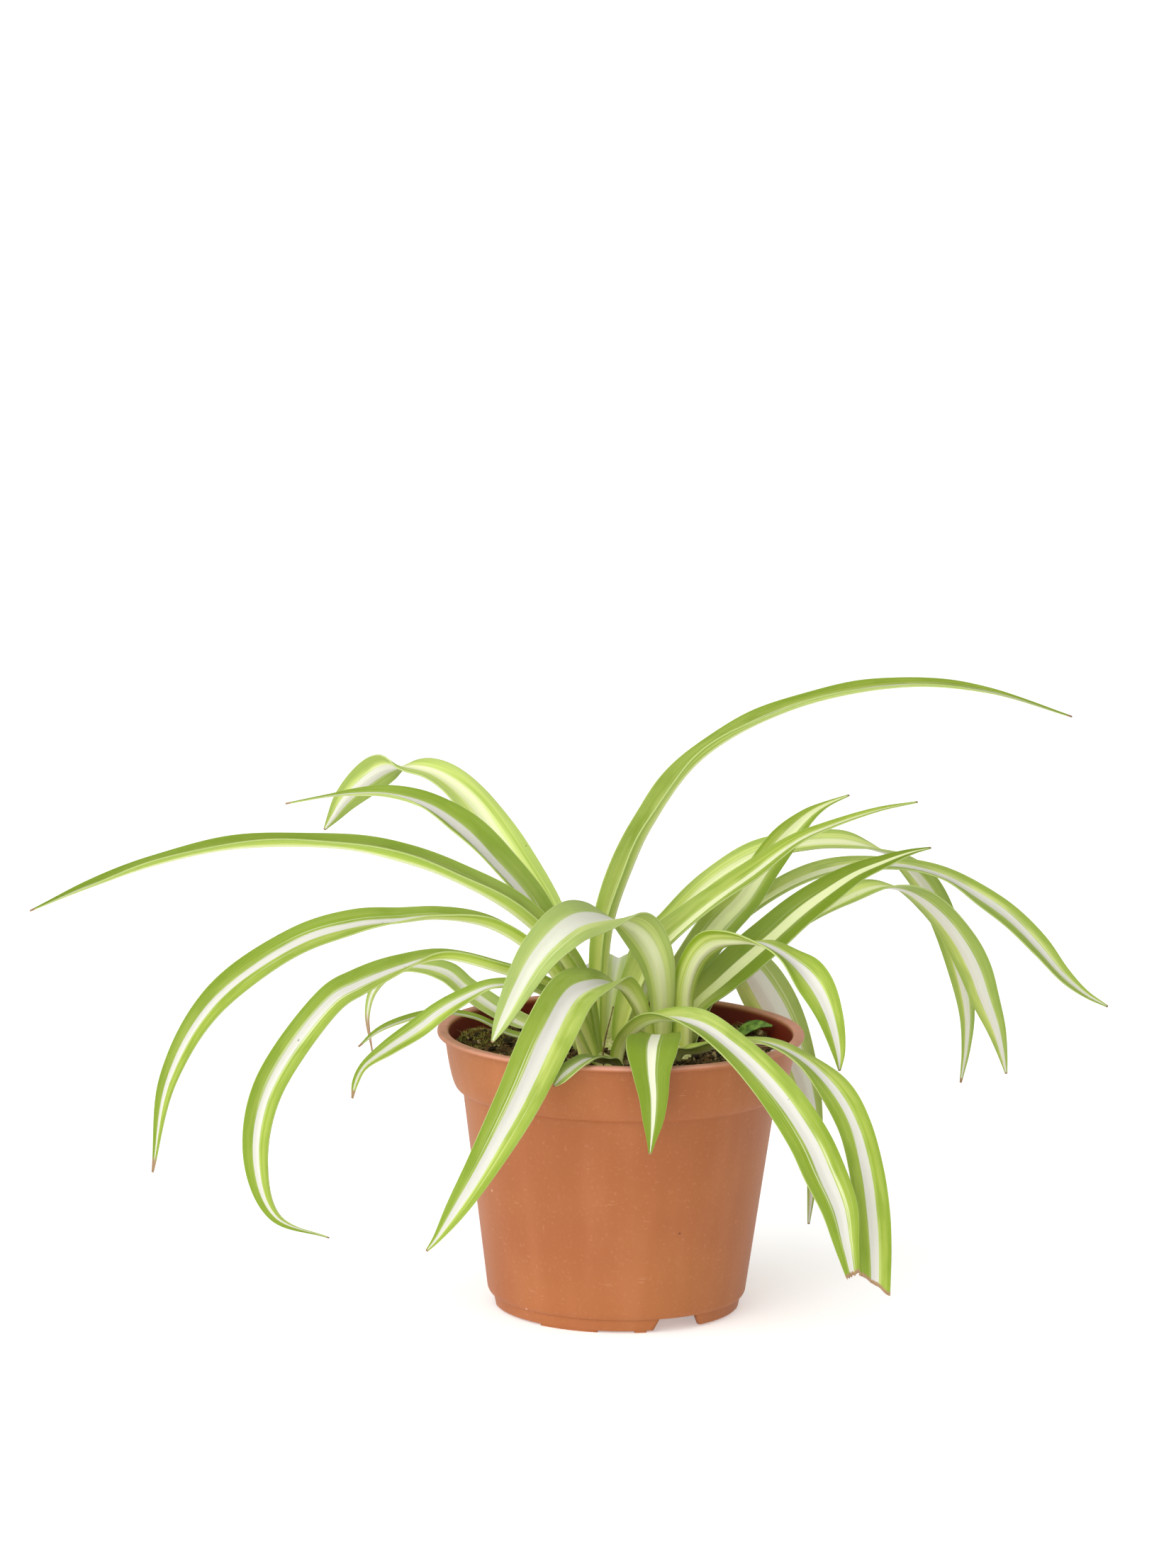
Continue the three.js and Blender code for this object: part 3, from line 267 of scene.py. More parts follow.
# The leaves, as in the CAD source. path: points of the midrib, the blade's width there and the
# turn of its upper face towards the camera, in mm and degrees. heading: growth direction.
# fold: the V fold at base and tip, and open: where it opens, as shares of length.
# The rest is for the looks. stripe: half width of the white stripe as a share of the blade.
# pale and deep: how washed out and how dark the greens are. cream: how yellow the stripe is in
# the first and in the last part. brown: length of the dry tip in mm. cut: how far the end is
# cut back at one margin, as a share of length. turned: its faces trade their looks.
PLAIN_LEAF = dict(open=(0.1, 0.6), stripe=0.3, pale=0, deep=0, cream=(0, 0), brown=0.6, cut=0,
                  turned=False)
LEAVES = [
    dict(name="leaf_left_long", heading=180, fold=(62, 50), deep=0.3, brown=2, path=[
        (-8, -12, 78, 7, 20), (-10, -12, 90, 8, 20), (-17, -12, 113, 12, 20),
        (-34, -12, 131, 13.5, 20), (-56, -10, 143, 13, 20), (-74, -10, 149, 11.5, 17),
        (-92, -10, 152.5, 10, 15), (-126, -14, 152.5, 8.5, 15), (-151, -18, 147.5, 7, 20),
        (-172, -22, 140.5, 4.5, 30), (-191, -26, 133, 0.8, 40)]),
    dict(name="leaf_left_arch_upper", heading=190, fold=(60, 22), stripe=0.25,
         deep=0.2, brown=5, path=[
        (-12, -15, 78, 6, 0), (-14, -16, 90, 7, 0), (-23, -20, 114, 9, -5), (-41, -24, 129, 9, -4),
        (-59, -27, 133, 9.5, 10), (-72, -29, 132, 11, 22), (-86, -32, 131, 11, 36),
        (-104, -36, 126, 11, 50), (-130, -44, 108, 10, 60), (-144, -50, 84, 6.5, 62),
        (-149, -54, 54, 0.8, 60)]),
    dict(name="leaf_left_arch_lower", heading=200, fold=(60, 20), stripe=0.25,
         deep=0.2, brown=1, path=[
        (-9, -19, 78, 6, 0), (-11, -20, 90, 7, 0), (-20, -26, 107.5, 9, 0),
        (-41, -33, 117.5, 8.5, -4), (-58, -38, 122, 9, 2), (-71, -44, 119.5, 10.5, 22),
        (-84, -50, 115, 11, 38), (-92, -54, 111, 11, 48), (-111.5, -64, 84, 10.5, 60),
        (-115, -66, 61, 8.5, 58), (-109, -64, 43, 4.5, 45), (-92, -60, 35, 0.8, 20)]),
    dict(name="leaf_left_back_low", heading=165, fold=(50, 15), pale=0.1, brown=14, path=[
        (-13, 3, 78, 5.5, 30), (-17, 3, 88, 6.5, 30), (-33, 13, 90, 8.5, 38), (-43, 22, 94, 9, 44),
        (-52, 29, 99, 8.5, 44), (-58, 33, 103, 8.5, 42), (-66, 37, 104, 6.5, 30),
        (-74, 42, 102.5, 5.5, 35), (-82, 45, 95, 4.5, 50), (-84.5, 46.5, 86, 3, 50),
        (-83, 48, 73, 0.8, 40)]),
    dict(name="leaf_left_front_low", heading=195, fold=(55, 22), brown=3, path=[
        (-8, -24, 78, 5, 0), (-12, -27, 90, 5.5, 8), (-25, -35, 110, 7, 18),
        (-40, -40, 113.5, 6.5, 15), (-50, -42, 110, 7, 35), (-58, -43.5, 105.5, 7.5, 46),
        (-65, -44, 100, 7.5, 50), (-74, -45.5, 94, 6, 50), (-82, -47, 88, 3.2, 42),
        (-84.5, -48, 83, 2.6, 40), (-85.5, -48, 78, 0.8, 30)]),
    dict(name="leaf_left_thin", heading=180, fold=(50, 40), brown=2, path=[
        (-16, -8, 79, 3, 30), (-20, -8, 87, 3.5, 30), (-36, -8, 91, 4, 30), (-48, -10, 97, 3.5, 30),
        (-60, -12, 98.5, 3.6, 30), (-72, -13.5, 95.5, 4, 30), (-79, -14.5, 92.5, 3, 30),
        (-85, -16, 88, 0.8, 30)]),
    dict(name="leaf_back_left_tall", heading=150, fold=(50, 14), pale=0.12, turned=True, path=[
        (-12, 16, 78, 7, 10), (-14, 19, 92, 9, 10), (-19, 27, 103, 12, 15),
        (-26, 40, 122, 14.5, 28), (-37, 52, 137, 15.5, 28), (-52, 69, 155, 15, 21),
        (-64, 79, 162, 14, 13), (-74, 85, 163, 13.5, 0), (-81, 88, 162, 13, -45),
        (-88, 91.5, 157, 12, -62), (-95, 94, 150, 8.5, -66), (-99, 95, 144, 4.5, -60),
        (-102, 96, 139.5, 0.8, -60)]),
    dict(name="leaf_left_tall", heading=170, fold=(58, 35), deep=0.15, brown=2, path=[
        (-15, 11, 78, 7, 20), (-18, 11, 92, 10, 20), (-24, 13, 114, 14, 28),
        (-31, 17, 129, 15.5, 30), (-43, 21, 142, 15.5, 30), (-55, 24, 153, 15.5, 26),
        (-66, 26, 160, 12.5, 20), (-78, 29, 163, 8, 20), (-89, 31, 163, 4.5, 20),
        (-98, 32, 162, 2, 20), (-112, 34, 159, 0.8, 20)]),
    dict(name="leaf_right_tallest", heading=12, fold=(62, 50), deep=0.25, brown=2, path=[
        (-5.5, 9, 78, 6.5, 30), (-5.5, 9.5, 92, 9, 30), (-5, 12, 107, 12, 30),
        (-3, 16, 125, 14, 27), (3, 21, 142.5, 14.5, 25), (9, 24, 155.5, 14, 25),
        (25, 30, 177, 10.5, 15), (54, 36, 193, 8.5, 22), (91, 42, 200.5, 6.5, 30),
        (119, 46, 198.5, 3.7, 40), (148, 50, 190, 0.8, 50)]),
    dict(name="leaf_front_left_high", heading=212, fold=(45, 12), stripe=0.34, pale=0.2, path=[
        (13, 2, 78, 8.5, -50), (13, 1, 90, 9, -52), (13, -2, 104, 11.5, -55),
        (11, -5, 115, 14.5, -53), (7, -8, 123, 16, -48), (0.5, -14, 129.5, 16, -22),
        (-8, -23, 133, 16, 20), (-15, -31, 133.5, 16, 43), (-20, -36, 131, 15.5, 49),
        (-27, -41, 124, 13, 48), (-33, -45.5, 114, 9.8, 45), (-38, -50, 104, 5.5, 42),
        (-41, -52.5, 98, 0.8, 40)]),
    dict(name="leaf_front_left_long", heading=225, fold=(45, 12), path=[
        (9, -3, 78, 6, -20), (8.5, -4, 89, 6.5, -25), (6, -11, 100, 8, -30), (2, -16, 107, 10, -24),
        (-3, -25, 111.5, 13, -2), (-9, -36, 113.5, 15, 22), (-16, -45, 112, 16.5, 40),
        (-23, -58, 102, 17, 45), (-33, -73, 82, 14.5, 45), (-43, -81, 64, 10.6, 42),
        (-51, -86, 51, 7, 40), (-57, -89, 42, 2.6, 35), (-60, -90, 38.5, 0.8, 35)]),
    dict(name="leaf_front_short", heading=268, fold=(35, 6), open=(0.1, 0.45), stripe=0.18,
         deep=0.8, cream=(0.3, 0.3), path=[
        (11, -7, 78, 7, 0), (11, -12, 88, 8, 0), (12, -34, 97, 12.5, 0), (11, -52, 100, 17, 0),
        (10, -61, 98, 16.5, 0), (10, -64, 92, 12.4, 0), (10.8, -65, 84, 9.4, 0),
        (10.8, -65, 76, 6.6, 0), (10.4, -64.5, 70, 3.2, 0), (10, -64, 65, 0.8, 0)]),
    dict(name="leaf_front_right_long", heading=322, fold=(45, 12), deep=0.15,
         brown=1.5, cut=-0.006, path=[
        (0, -17.5, 78, 7, 0), (1, -18, 88, 8.5, 0), (4, -22.5, 94.5, 9.5, 0),
        (11, -30, 101, 10.2, -2), (24, -42, 102.5, 11.5, 20), (36, -54, 97.5, 11.6, 31),
        (49, -63, 86.5, 12.8, 38), (60, -69.5, 72, 14, 40), (65, -72, 62, 14.2, 40),
        (70, -74, 51, 12.2, 40), (72.5, -75, 40, 8.5, 40), (75, -76, 28.5, 4.2, 40)]),
    dict(name="leaf_front_right_outer", heading=325, fold=(40, 10), open=(0.1, 0.4), stripe=0.25,
         deep=0.05, brown=1.5, cut=0.05, path=[
        (19, -6, 78, 6, 0), (20, -12, 86, 7, 0), (26, -25, 90, 9, 6), (35, -33, 94.5, 9.5, -2),
        (47, -41, 96.5, 10.5, -8), (59, -49.5, 92.5, 11.2, 3), (69, -56, 84, 11.4, 29),
        (75, -60, 74, 11, 43), (79, -62.5, 60, 11.4, 47), (81, -64.5, 47, 11.6, 50),
        (82, -65.5, 36, 11, 50), (82.5, -66, 20, 9.8, 50)]),
    dict(name="leaf_front_left_short", heading=235, fold=(45, 25), pale=0.1, deep=0.5, path=[
        (0, -24, 78, 4, 0), (-2, -32, 87, 5, 0), (-6, -43, 90, 6.5, 0), (-10, -54, 93, 7.5, 0),
        (-14, -60, 92, 8, 0), (-18, -63, 89.5, 6, 10), (-21, -64, 86.5, 0.8, 20)]),
    dict(name="leaf_right_arch_near", heading=330, fold=(45, 16), path=[
        (22, 5, 78, 9, -30), (22, 4.5, 90, 10, -35), (21.5, 3.5, 103, 10.6, -38),
        (24, 0.5, 113.5, 11.2, -40), (29, -5, 120.5, 13.4, -42), (36, -14, 124, 13, -31),
        (45, -22, 125, 12.6, -4), (54, -29, 121.5, 12, 8), (62, -34, 115, 12, 50),
        (67, -37, 105.5, 9, 55), (70, -39, 94, 4.6, 52), (70.5, -40, 88, 0.8, 50)]),
    dict(name="leaf_right_spear", heading=20, fold=(32, 20), stripe=0.26,
         deep=0.8, cream=(0.9, 0.8), path=[
        (17, 14, 78, 4.5, 40), (20, 15, 87, 7, 40), (24, 17, 96, 12, 40), (33, 20, 104, 14.5, 40),
        (48, 24, 117, 15.2, 40), (58, 26.5, 126, 14, 40), (67, 29.5, 132.5, 11.5, 40),
        (77, 34, 138.5, 7.9, 40), (86, 37, 142, 5.6, 40), (95, 40, 145, 3, 33),
        (102, 42, 146.5, 0.8, 30)]),
    dict(name="leaf_right_high_spear", heading=15, fold=(50, 32),
         stripe=0.22, cream=(0.9, 0.5), path=[
        (1, 8, 78, 6.5, 30), (1.5, 8, 88, 9, 30), (4, 8.5, 97, 13, 30), (9, 11, 110, 15.8, 30),
        (14, 13, 117, 15, 30), (26, 16, 128, 12.6, 30), (34, 19, 134, 11.2, 30),
        (43, 23, 140, 9.8, 30), (57, 28, 150, 6.6, 30), (66, 31, 154, 4.9, 30),
        (84, 35, 160, 2.4, 30), (97, 38, 162.5, 0.8, 30)]),
    dict(name="leaf_right_steep_spear", heading=30, fold=(35, 18),
         stripe=0.36, cream=(1, 0.8), path=[
        (13, 18, 78, 7, 45), (15, 20, 90, 8.6, 50), (18, 25, 102, 12, 60), (24, 29, 111, 13.4, 63),
        (31, 33, 120.5, 13.3, 65), (40, 37.5, 129.5, 11.8, 61), (46, 42, 138, 11, 59),
        (53, 47, 147, 10, 56), (61, 52, 154.5, 5.6, 47), (67, 55, 158, 2.7, 41),
        (75, 58, 161, 0.8, 30)]),
    dict(name="leaf_back_right_droop", heading=35, fold=(50, 16), pale=0.12,
         brown=2, turned=True, path=[
        (1, 13, 78, 6, 30), (2, 16, 92, 7, 30), (6, 31, 111, 8.5, 30), (16, 40, 120.5, 9, 30),
        (30, 54, 131.5, 10, 24), (45, 65, 138.5, 11, 20), (61, 74, 141, 11.5, 26),
        (74, 80.5, 140.5, 11.3, 26), (84, 84.5, 138, 11, 6), (92, 88, 134.5, 10.6, -9),
        (101, 92, 126, 10.5, -33), (108, 95, 115, 9.8, -52), (115, 98.5, 95, 8, -57),
        (118.5, 100, 79, 5.6, -60), (118.5, 101, 66, 3.2, -60), (117, 102, 54, 0.8, -60)]),
    dict(name="leaf_back_right_outer", heading=25, fold=(55, 20), pale=0.08, cream=(0.9, 0), path=[
        (19, 21, 78, 6, 30), (21, 24, 90, 6.5, 30), (26, 35, 105, 7.5, 30), (37, 43, 118.5, 9, 30),
        (54, 54, 129.5, 9.4, 30), (72, 62, 135, 8.8, 25), (92, 69, 135, 8.4, 22),
        (107, 73, 131, 8.8, 30), (120, 75, 124, 9.4, 54), (130, 76, 117, 9.9, 60),
        (140, 77, 107, 9.4, 63), (149, 78, 97, 6.5, 65), (157, 79, 90.5, 3.2, 65),
        (165, 80, 86, 0.8, 65)]),
    dict(name="leaf_back_right_inner", heading=28, fold=(55, 14), pale=0.1, turned=True, path=[
        (23, 16, 78, 7, 30), (26, 18, 89, 8, 30), (35, 26, 104.5, 9, 30), (44, 33, 111, 10, 27),
        (59, 43, 119, 10.4, 21), (73, 52, 125.5, 10.8, 15), (86, 61, 129, 11.6, 2),
        (95, 66, 127, 12, -10), (105, 70, 119.5, 12.4, -32), (113, 72.5, 110, 12, -43),
        (119, 74, 99.5, 11.6, -55), (123, 75, 89, 10, -57), (127, 75, 79, 6.9, -60),
        (129.5, 76, 70, 3.6, -60), (131, 76, 63, 0.8, -60)]),
    dict(name="leaf_back_right_hang", heading=45, fold=(45, 12), stripe=0.4,
         pale=0.1, turned=True, path=[
        (13, 23, 78, 7, 0), (15, 29, 90, 9, 0), (26, 43, 102, 12, -10), (38, 53, 104, 14.5, -28),
        (43, 58, 100, 17, -38), (49, 63, 91, 18, -50), (55, 67, 80, 16.5, -55),
        (60, 70, 67, 13.8, -60), (64, 71.5, 54, 10, -60), (66, 72, 41, 7, -60),
        (66, 72, 27, 4, -55), (65, 72, 10.5, 0.8, -50)]),
    dict(name="leaf_back_short", heading=88, fold=(45, 14), pale=0.4, path=[
        (-4, 17, 78, 5.5, 0), (-4, 22, 92, 6.5, 0), (-2, 35, 106, 10, 0), (-1, 48, 106, 10.5, 0),
        (0, 66, 98, 9, 0), (0, 76, 72, 5.5, 0), (0, 80, 48, 0.8, 0)]),
    dict(name="leaf_back_left_hidden", heading=95, fold=(45, 14), path=[
        (-10, 21, 78, 6, 0), (-11, 26, 92, 7.5, 0), (-12, 42, 103, 11, 0), (-14, 63, 97, 10.5, 0),
        (-16, 76, 72, 7, 0), (-18, 82, 44, 0.8, 0)]),
    dict(name="leaf_back_right_hidden", heading=74, fold=(45, 14), path=[
        (4, 19, 78, 6.5, 0), (6, 25, 92, 8, 0), (12, 46, 104, 12.5, 0), (17, 66, 97, 11.5, 0),
        (21, 80, 70, 7.5, 0), (24, 86, 38, 0.8, 0)]),
]
WEED = dict(name="weed_leaf", heading=15, fold=(12, 8), stripe=0, path=[
    (38, 20, 84, 1.4, 10), (41, 20, 88, 5.6, 15), (45, 20, 90, 4.8, 20), (50, 19, 90, 1, 20)])

BLADE = 0.5  # mm, thickness
TIP_WIDTH = 0.7
ALONG_STEP = 1.5  # mm between rows of a blade's grid
FEWEST_ROWS = 24
FINE_ROWS = 400  # of the midrib, from which the blade's rows are taken
SPAN_SAMPLES = 60  # between two points of a path
ACROSS = np.array([0, 0.06, 0.14, 0.24, 0.35, 0.46, 0.57, 0.68, 0.79, 0.89, 0.965, 1.0])
SOFT_RIB = 0.12  # how far the V's bottom is rounded, as a share of the half width
BULGE = 0.16  # of each half, as a share of the half width
WAVE_LENGTH = 47.0  # mm, of the margins' waves
WAVE_HEIGHT = 0.55
WAVES_FROM = (0.12, 0.4)  # shares of length between which they begin
SECOND_MARGIN = 1.17  # how much faster its waves follow
RIDGES = 9  # half waves from the rib to a margin
RIDGE_HEIGHT = 0.05
USUAL_HALF = 7  # mm, the half width at which waves and ridges have their full height
THIN_HALF = 2.5  # mm, the half width under which a blade gets thinner
TEAR = 0.006  # depth of a cut end's ragged edge as a share of length
TEAR_POINTS = 9
CREAM_FROM = (0.3, 0.6)  # shares of length between which the stripe's tone changes
PATTERN_SHIFT = 7.3  # between the patterns of two leaves


def spline(points):
    """A centripetal Catmull-Rom curve through the points, finely sampled. Returns the samples,
    their lengths along the curve, and the lengths at the given points."""
    p = np.asarray(points, float)[:, :3]
    ends = np.vstack([2 * p[0] - p[1], p, 2 * p[-1] - p[-2]])
    t = np.arange(SPAN_SAMPLES)[:, None] / SPAN_SAMPLES
    parts = []
    for p0, p1, p2, p3 in zip(ends[:-3], ends[1:-2], ends[2:-1], ends[3:]):
        d0, d1, d2 = (np.sqrt(np.linalg.norm(b - a)) for a, b in ((p0, p1), (p1, p2), (p2, p3)))
        start = ((p1 - p0) / d0 - (p2 - p0) / (d0 + d1) + (p2 - p1) / d1) * d1
        stop = ((p2 - p1) / d1 - (p3 - p1) / (d1 + d2) + (p3 - p2) / d2) * d1
        parts.append(
            p1 + start * t + (3 * (p2 - p1) - 2 * start - stop) * t**2
            + (2 * (p1 - p2) + start + stop) * t**3
        )
    samples = np.vstack(parts + [p[-1:]])
    steps = np.linalg.norm(np.diff(samples, axis=0), axis=1)
    lengths = np.concatenate([[0], np.cumsum(steps)])
    return samples, lengths, lengths[::SPAN_SAMPLES]


def evenly(samples, lengths, share):
    """Points of a sampled curve at shares of its length, and its directions there."""
    at = share * lengths[-1]
    middle = np.stack([np.interp(at, lengths, samples[:, k]) for k in range(3)], 1)
    return middle, unit(np.gradient(middle, axis=0))


def passing(x, knots, values):
    """A smooth curve through the values at their knots: cubic spans, whose slope at each knot
    is that of the straight line between its two neighbours."""
    held, ends = np.pad(values, 1, mode="edge"), np.pad(knots, 1, mode="edge")
    slope = (held[2:] - held[:-2]) / (ends[2:] - ends[:-2])
    i = np.clip(np.searchsorted(knots, x, side="right") - 1, 0, len(knots) - 2)
    span, rise = knots[i + 1] - knots[i], values[i + 1] - values[i]
    t = (x - knots[i]) / span
    a, b = slope[i] * span, slope[i + 1] * span
    return values[i] + a * t + (3 * rise - 2 * a - b) * t**2 + (a + b - 2 * rise) * t**3


def blade_surface(leaf, rng, u):
    """The middle of a blade's thickness. At each row the section is a V whose bottom is
    rounded: it rises to either side by sin(fold) times the distance from the rib, each half
    bulges a little, and the margins wave. The width and the turn pass smoothly through those
    given along the path. The end may be cut aslant, with a ragged edge. u runs across from -1
    to 1. Returns points, shares of length, half widths, lengths from the base and to the end."""
    path = np.asarray(leaf["path"], float)
    samples, lengths, at_points = spline(path)
    total = lengths[-1]
    knots = at_points / total
    size, cut = np.abs(u), leaf["cut"]
    tear = np.interp(u, np.linspace(-1, 1, TEAR_POINTS), rng.uniform(-1, 1, TEAR_POINTS))
    reach = 1 - abs(cut) * (0.5 + 0.5 * np.sign(cut) * u) - np.abs(TEAR * tear * (cut != 0))
    f = np.linspace(0, 1, max(FEWEST_ROWS, int(total / ALONG_STEP)))[:, None] * reach

    share = np.linspace(0, 1, FINE_ROWS)
    middle, along = evenly(samples, lengths, share)
    heading = np.radians(leaf["heading"])
    level = np.array([np.sin(heading), -np.cos(heading), 0])
    side = unit(level - (along @ level)[:, None] * along)
    up = np.cross(side, along)
    sign = 1 if np.cos(heading) >= 0 else -1
    angle = np.radians(sign * passing(share, knots, path[:, 4]))[:, None]
    across = side * np.cos(angle) - up * np.sin(angle)
    normal = up * np.cos(angle) + side * np.sin(angle)

    half = np.maximum(passing(f, knots, path[:, 3]), TIP_WIDTH) / 2
    folds = leaf["fold"]
    fold = np.radians(folds[0] + (folds[1] - folds[0]) * smooth(*leaf["open"], f))
    lift = (np.sqrt(u**2 + SOFT_RIB**2) - SOFT_RIB) / (np.sqrt(1 + SOFT_RIB**2) - SOFT_RIB)
    bulge = BULGE * size * (1 - size) * np.cos(fold)
    phase = rng.uniform(0, 2 * np.pi, 2)
    beat = 2 * np.pi * f * total / (WAVE_LENGTH * rng.uniform(0.85, 1.2))
    margin = np.where(u > 0, np.sin(beat + phase[0]), np.sin(SECOND_MARGIN * beat + phase[1]))
    wave = WAVE_HEIGHT * margin * size**2 * smooth(*WAVES_FROM, f) * (half / USUAL_HALF)
    ridges = RIDGE_HEIGHT * np.cos(u * RIDGES * np.pi) * smooth(1, 0.7, size)
    ridges = ridges * (half / USUAL_HALF)
    over = half * (np.sin(fold) * lift + bulge) + wave + ridges
    surface = 0
    for vectors, distance in ((middle, 1), (across, half * np.cos(fold) * u), (normal, over)):
        row = np.stack([np.interp(f, share, vectors[:, k]) for k in range(3)], -1)
        surface = surface + row * np.asarray(distance)[..., None]
    return surface, f, half, f * total, (reach - f) * total


def build_blade(leaf, seed, material, slot):
    """A leaf's closed skin: its surface moved half the thickness up and down and joined round
    its edge. The points carry vectors. place: position on the blade as shares, and 1 on the face
    with the upper side's look. measured: the same in mm, and the length to the end. tone and
    kind: the leaf's looks."""
    leaf = {**PLAIN_LEAF, **leaf}
    u = np.concatenate([-ACROSS[:0:-1], ACROSS])[None, :]
    surface, f, half, along, to_end = blade_surface(leaf, np.random.default_rng(seed), u)
    facing = unit(np.cross(np.gradient(surface, axis=1), np.gradient(surface, axis=0)))
    thick = BLADE * np.clip(half / THIN_HALF, 0.5, 1) * (1 + 0.5 * smooth(0.3, 0, np.abs(u)))
    out = facing * thick[..., None] / 2
    points = np.concatenate([surface + out, surface - out]).reshape(-1, 3)

    rows, columns = f.shape
    count = rows * columns
    number = np.arange(count).reshape(rows, columns)
    edge = np.concatenate([number[0], number[1:, -1], number[-1, -2::-1], number[-2:0:-1, 0]])
    rim = np.stack([edge, edge + count, np.roll(edge, -1) + count, np.roll(edge, -1)], -1)
    below = grid_faces(rows, columns, count)[:, ::-1]
    faces = np.concatenate([grid_faces(rows, columns), below, rim])

    def both_faces(*values):
        return np.stack([np.tile(np.broadcast_to(v, f.shape).ravel(), 2) for v in values], -1)

    place = both_faces(u, f, 0)
    place[:, 2] = np.repeat([0, 1] if leaf["turned"] else [1, 0], count)
    shares = place[:, 1]
    kind = [np.full_like(shares, seed * PATTERN_SHIFT), np.full_like(shares, leaf["deep"]),
            np.interp(shares, CREAM_FROM, leaf["cream"])]
    add_piece(leaf["name"] + "_fine", points, [faces], material, slot, leaf["name"],
              place=place, measured=both_faces(u * half, along, to_end),
              tone=np.tile([leaf["stripe"], leaf["pale"], leaf["brown"]], (len(points), 1)),
              kind=np.stack(kind, -1))


# ------------------------------------------------------------------ the pot

POT_SIDES = 240
POT_STEP = 2.5  # mm, the longest stretch between points of the wall's outline
RIM_TOP = 92
BAND_STEP = 72.2
WOBBLE_FROM = 60  # mm, the height from which the wall is out of round
# The rim's slow waves outwards, as shares of the radius, and upwards, in mm: height, how many go
# round, and where they start.
RIM_OUT = ((0.0014, 2, 0.7), (0.0009, 5, 2))
RIM_UP = ((0.10, 3, 1), (0.06, 7, 0))
LIP = 4.6
FLOOR_TOP = 6.4
# Corners of the wall's section in mm: radius, height and length of the easing.
POT_CORNERS = [
    (39.5, LIP, 0.2), (41.7, LIP, 0.5), (42.4, LIP + 1.3, 0.5), (51.4, BAND_STEP, 0.3),
    (53.6, BAND_STEP + 0.7, 1.2), (54.9, BAND_STEP + 3.6, 1.8), (56.2, BAND_STEP + 9, 4),
    (57.6, RIM_TOP - 1.9, 0.4), (59.6, RIM_TOP - 1.7, 0.3), (60, RIM_TOP - 1.2, 0.3),
    (60, RIM_TOP - 0.5, 0.3), (59.4, RIM_TOP, 0.4), (57, RIM_TOP, 0.5),
    (56.3, RIM_TOP - 0.6, 0.4), (54.9, BAND_STEP + 9, 4), (53.9, BAND_STEP + 5, 1.5),
    (52.7, BAND_STEP + 2.2, 1), (50.1, BAND_STEP + 0.6, 0.6), (41.3, FLOOR_TOP, 0.8),
    (39.5, FLOOR_TOP, 0.2),
]
# Heights and radii of the middle of the wall's thickness.
MIDDLE_OF_WALL = ((LIP, 72.5, 75.8, 90.1, RIM_TOP + 1), (41.0, 50.9, 54.1, 56.9, 57.0))
FOOT_CORNERS = [(38.4, 0.6, 0.4), (40.2, 0.6, 0.6), (41, LIP + 0.8, 0.2), (38.4, LIP + 0.8, 0.2)]
PAD_CORNERS = [(38.7, 0, 0.3), (39.9, 0, 0.3), (40, 1.1, 0.2), (38.6, 1.1, 0.2)]
FOOT_RADIUS = 40
NOTCH_ANGLES = (60.5, 180.5, 300.5)
NOTCH_WIDTHS = (18.5, 14)  # at the ground and under the lip
PAD_SPANS = ((232.4, 261.5), (278.9, 284.5))
DRAIN_RING, DRAIN_RADIUS, DRAIN_COUNT = 30, 4, 6
FLOOR_FROM, FLOOR_TO = 0.5, 40.5  # radii
FLOOR_PARTS, FLOOR_RINGS = 16, 5  # points along each edge of a sector, and rings about a hole
CENTRE_PAD = 9
CENTRE_TOP = LIP + 0.6
CENTRE_HOLE = 0.4
RIM_STARTS = (0.0906, 0.0916)  # m, heights between which the rubbed rim begins
RIM_WITHIN = (0.0560, 0.0568)  # m, radii between which it begins
INSIDE_SHADE_ENDS = (0.0914, 0.0902)  # m, heights between which the painted shade on the inner wall ends


def turned_skin(outline, sides, wobble=None):
    """The closed skin of an outline of (radius, height) rows turned about Z. The outline is a
    closed loop that runs anticlockwise with the radius to the right. wobble moves the points."""
    points = polar(outline[:, :1], circle(sides)[None, :], outline[:, 1:])
    if wobble is not None:
        points = wobble(points)
    return points.reshape(-1, 3), [grid_faces(len(outline), sides, around=True, looped=True)]


def divided(outline, counts):
    """A closed outline whose stretches are each divided evenly into their count of parts."""
    stretches = zip(outline, np.roll(outline, -1, 0), counts)
    return np.concatenate([np.linspace(a, b, count, endpoint=False)
                           for a, b, count in stretches])


def arc_bar(outline, start, stop, sides, lean=0):
    """An outline of (radius, height) swept about Z between two angles in degrees, with its two
    ends closed. Each end moves out by `lean` degrees from the ground to the lip."""
    radius, height = outline[:, 0][None, :], outline[:, 1][None, :]
    way = np.linspace(0, 1, sides)[:, None]
    angle = np.radians(start + (stop - start) * way + lean * (2 * way - 1) * height / LIP)
    points = polar(radius, angle, height)
    return capped(points, points.mean(1)[[0, -1]], reverse=True)


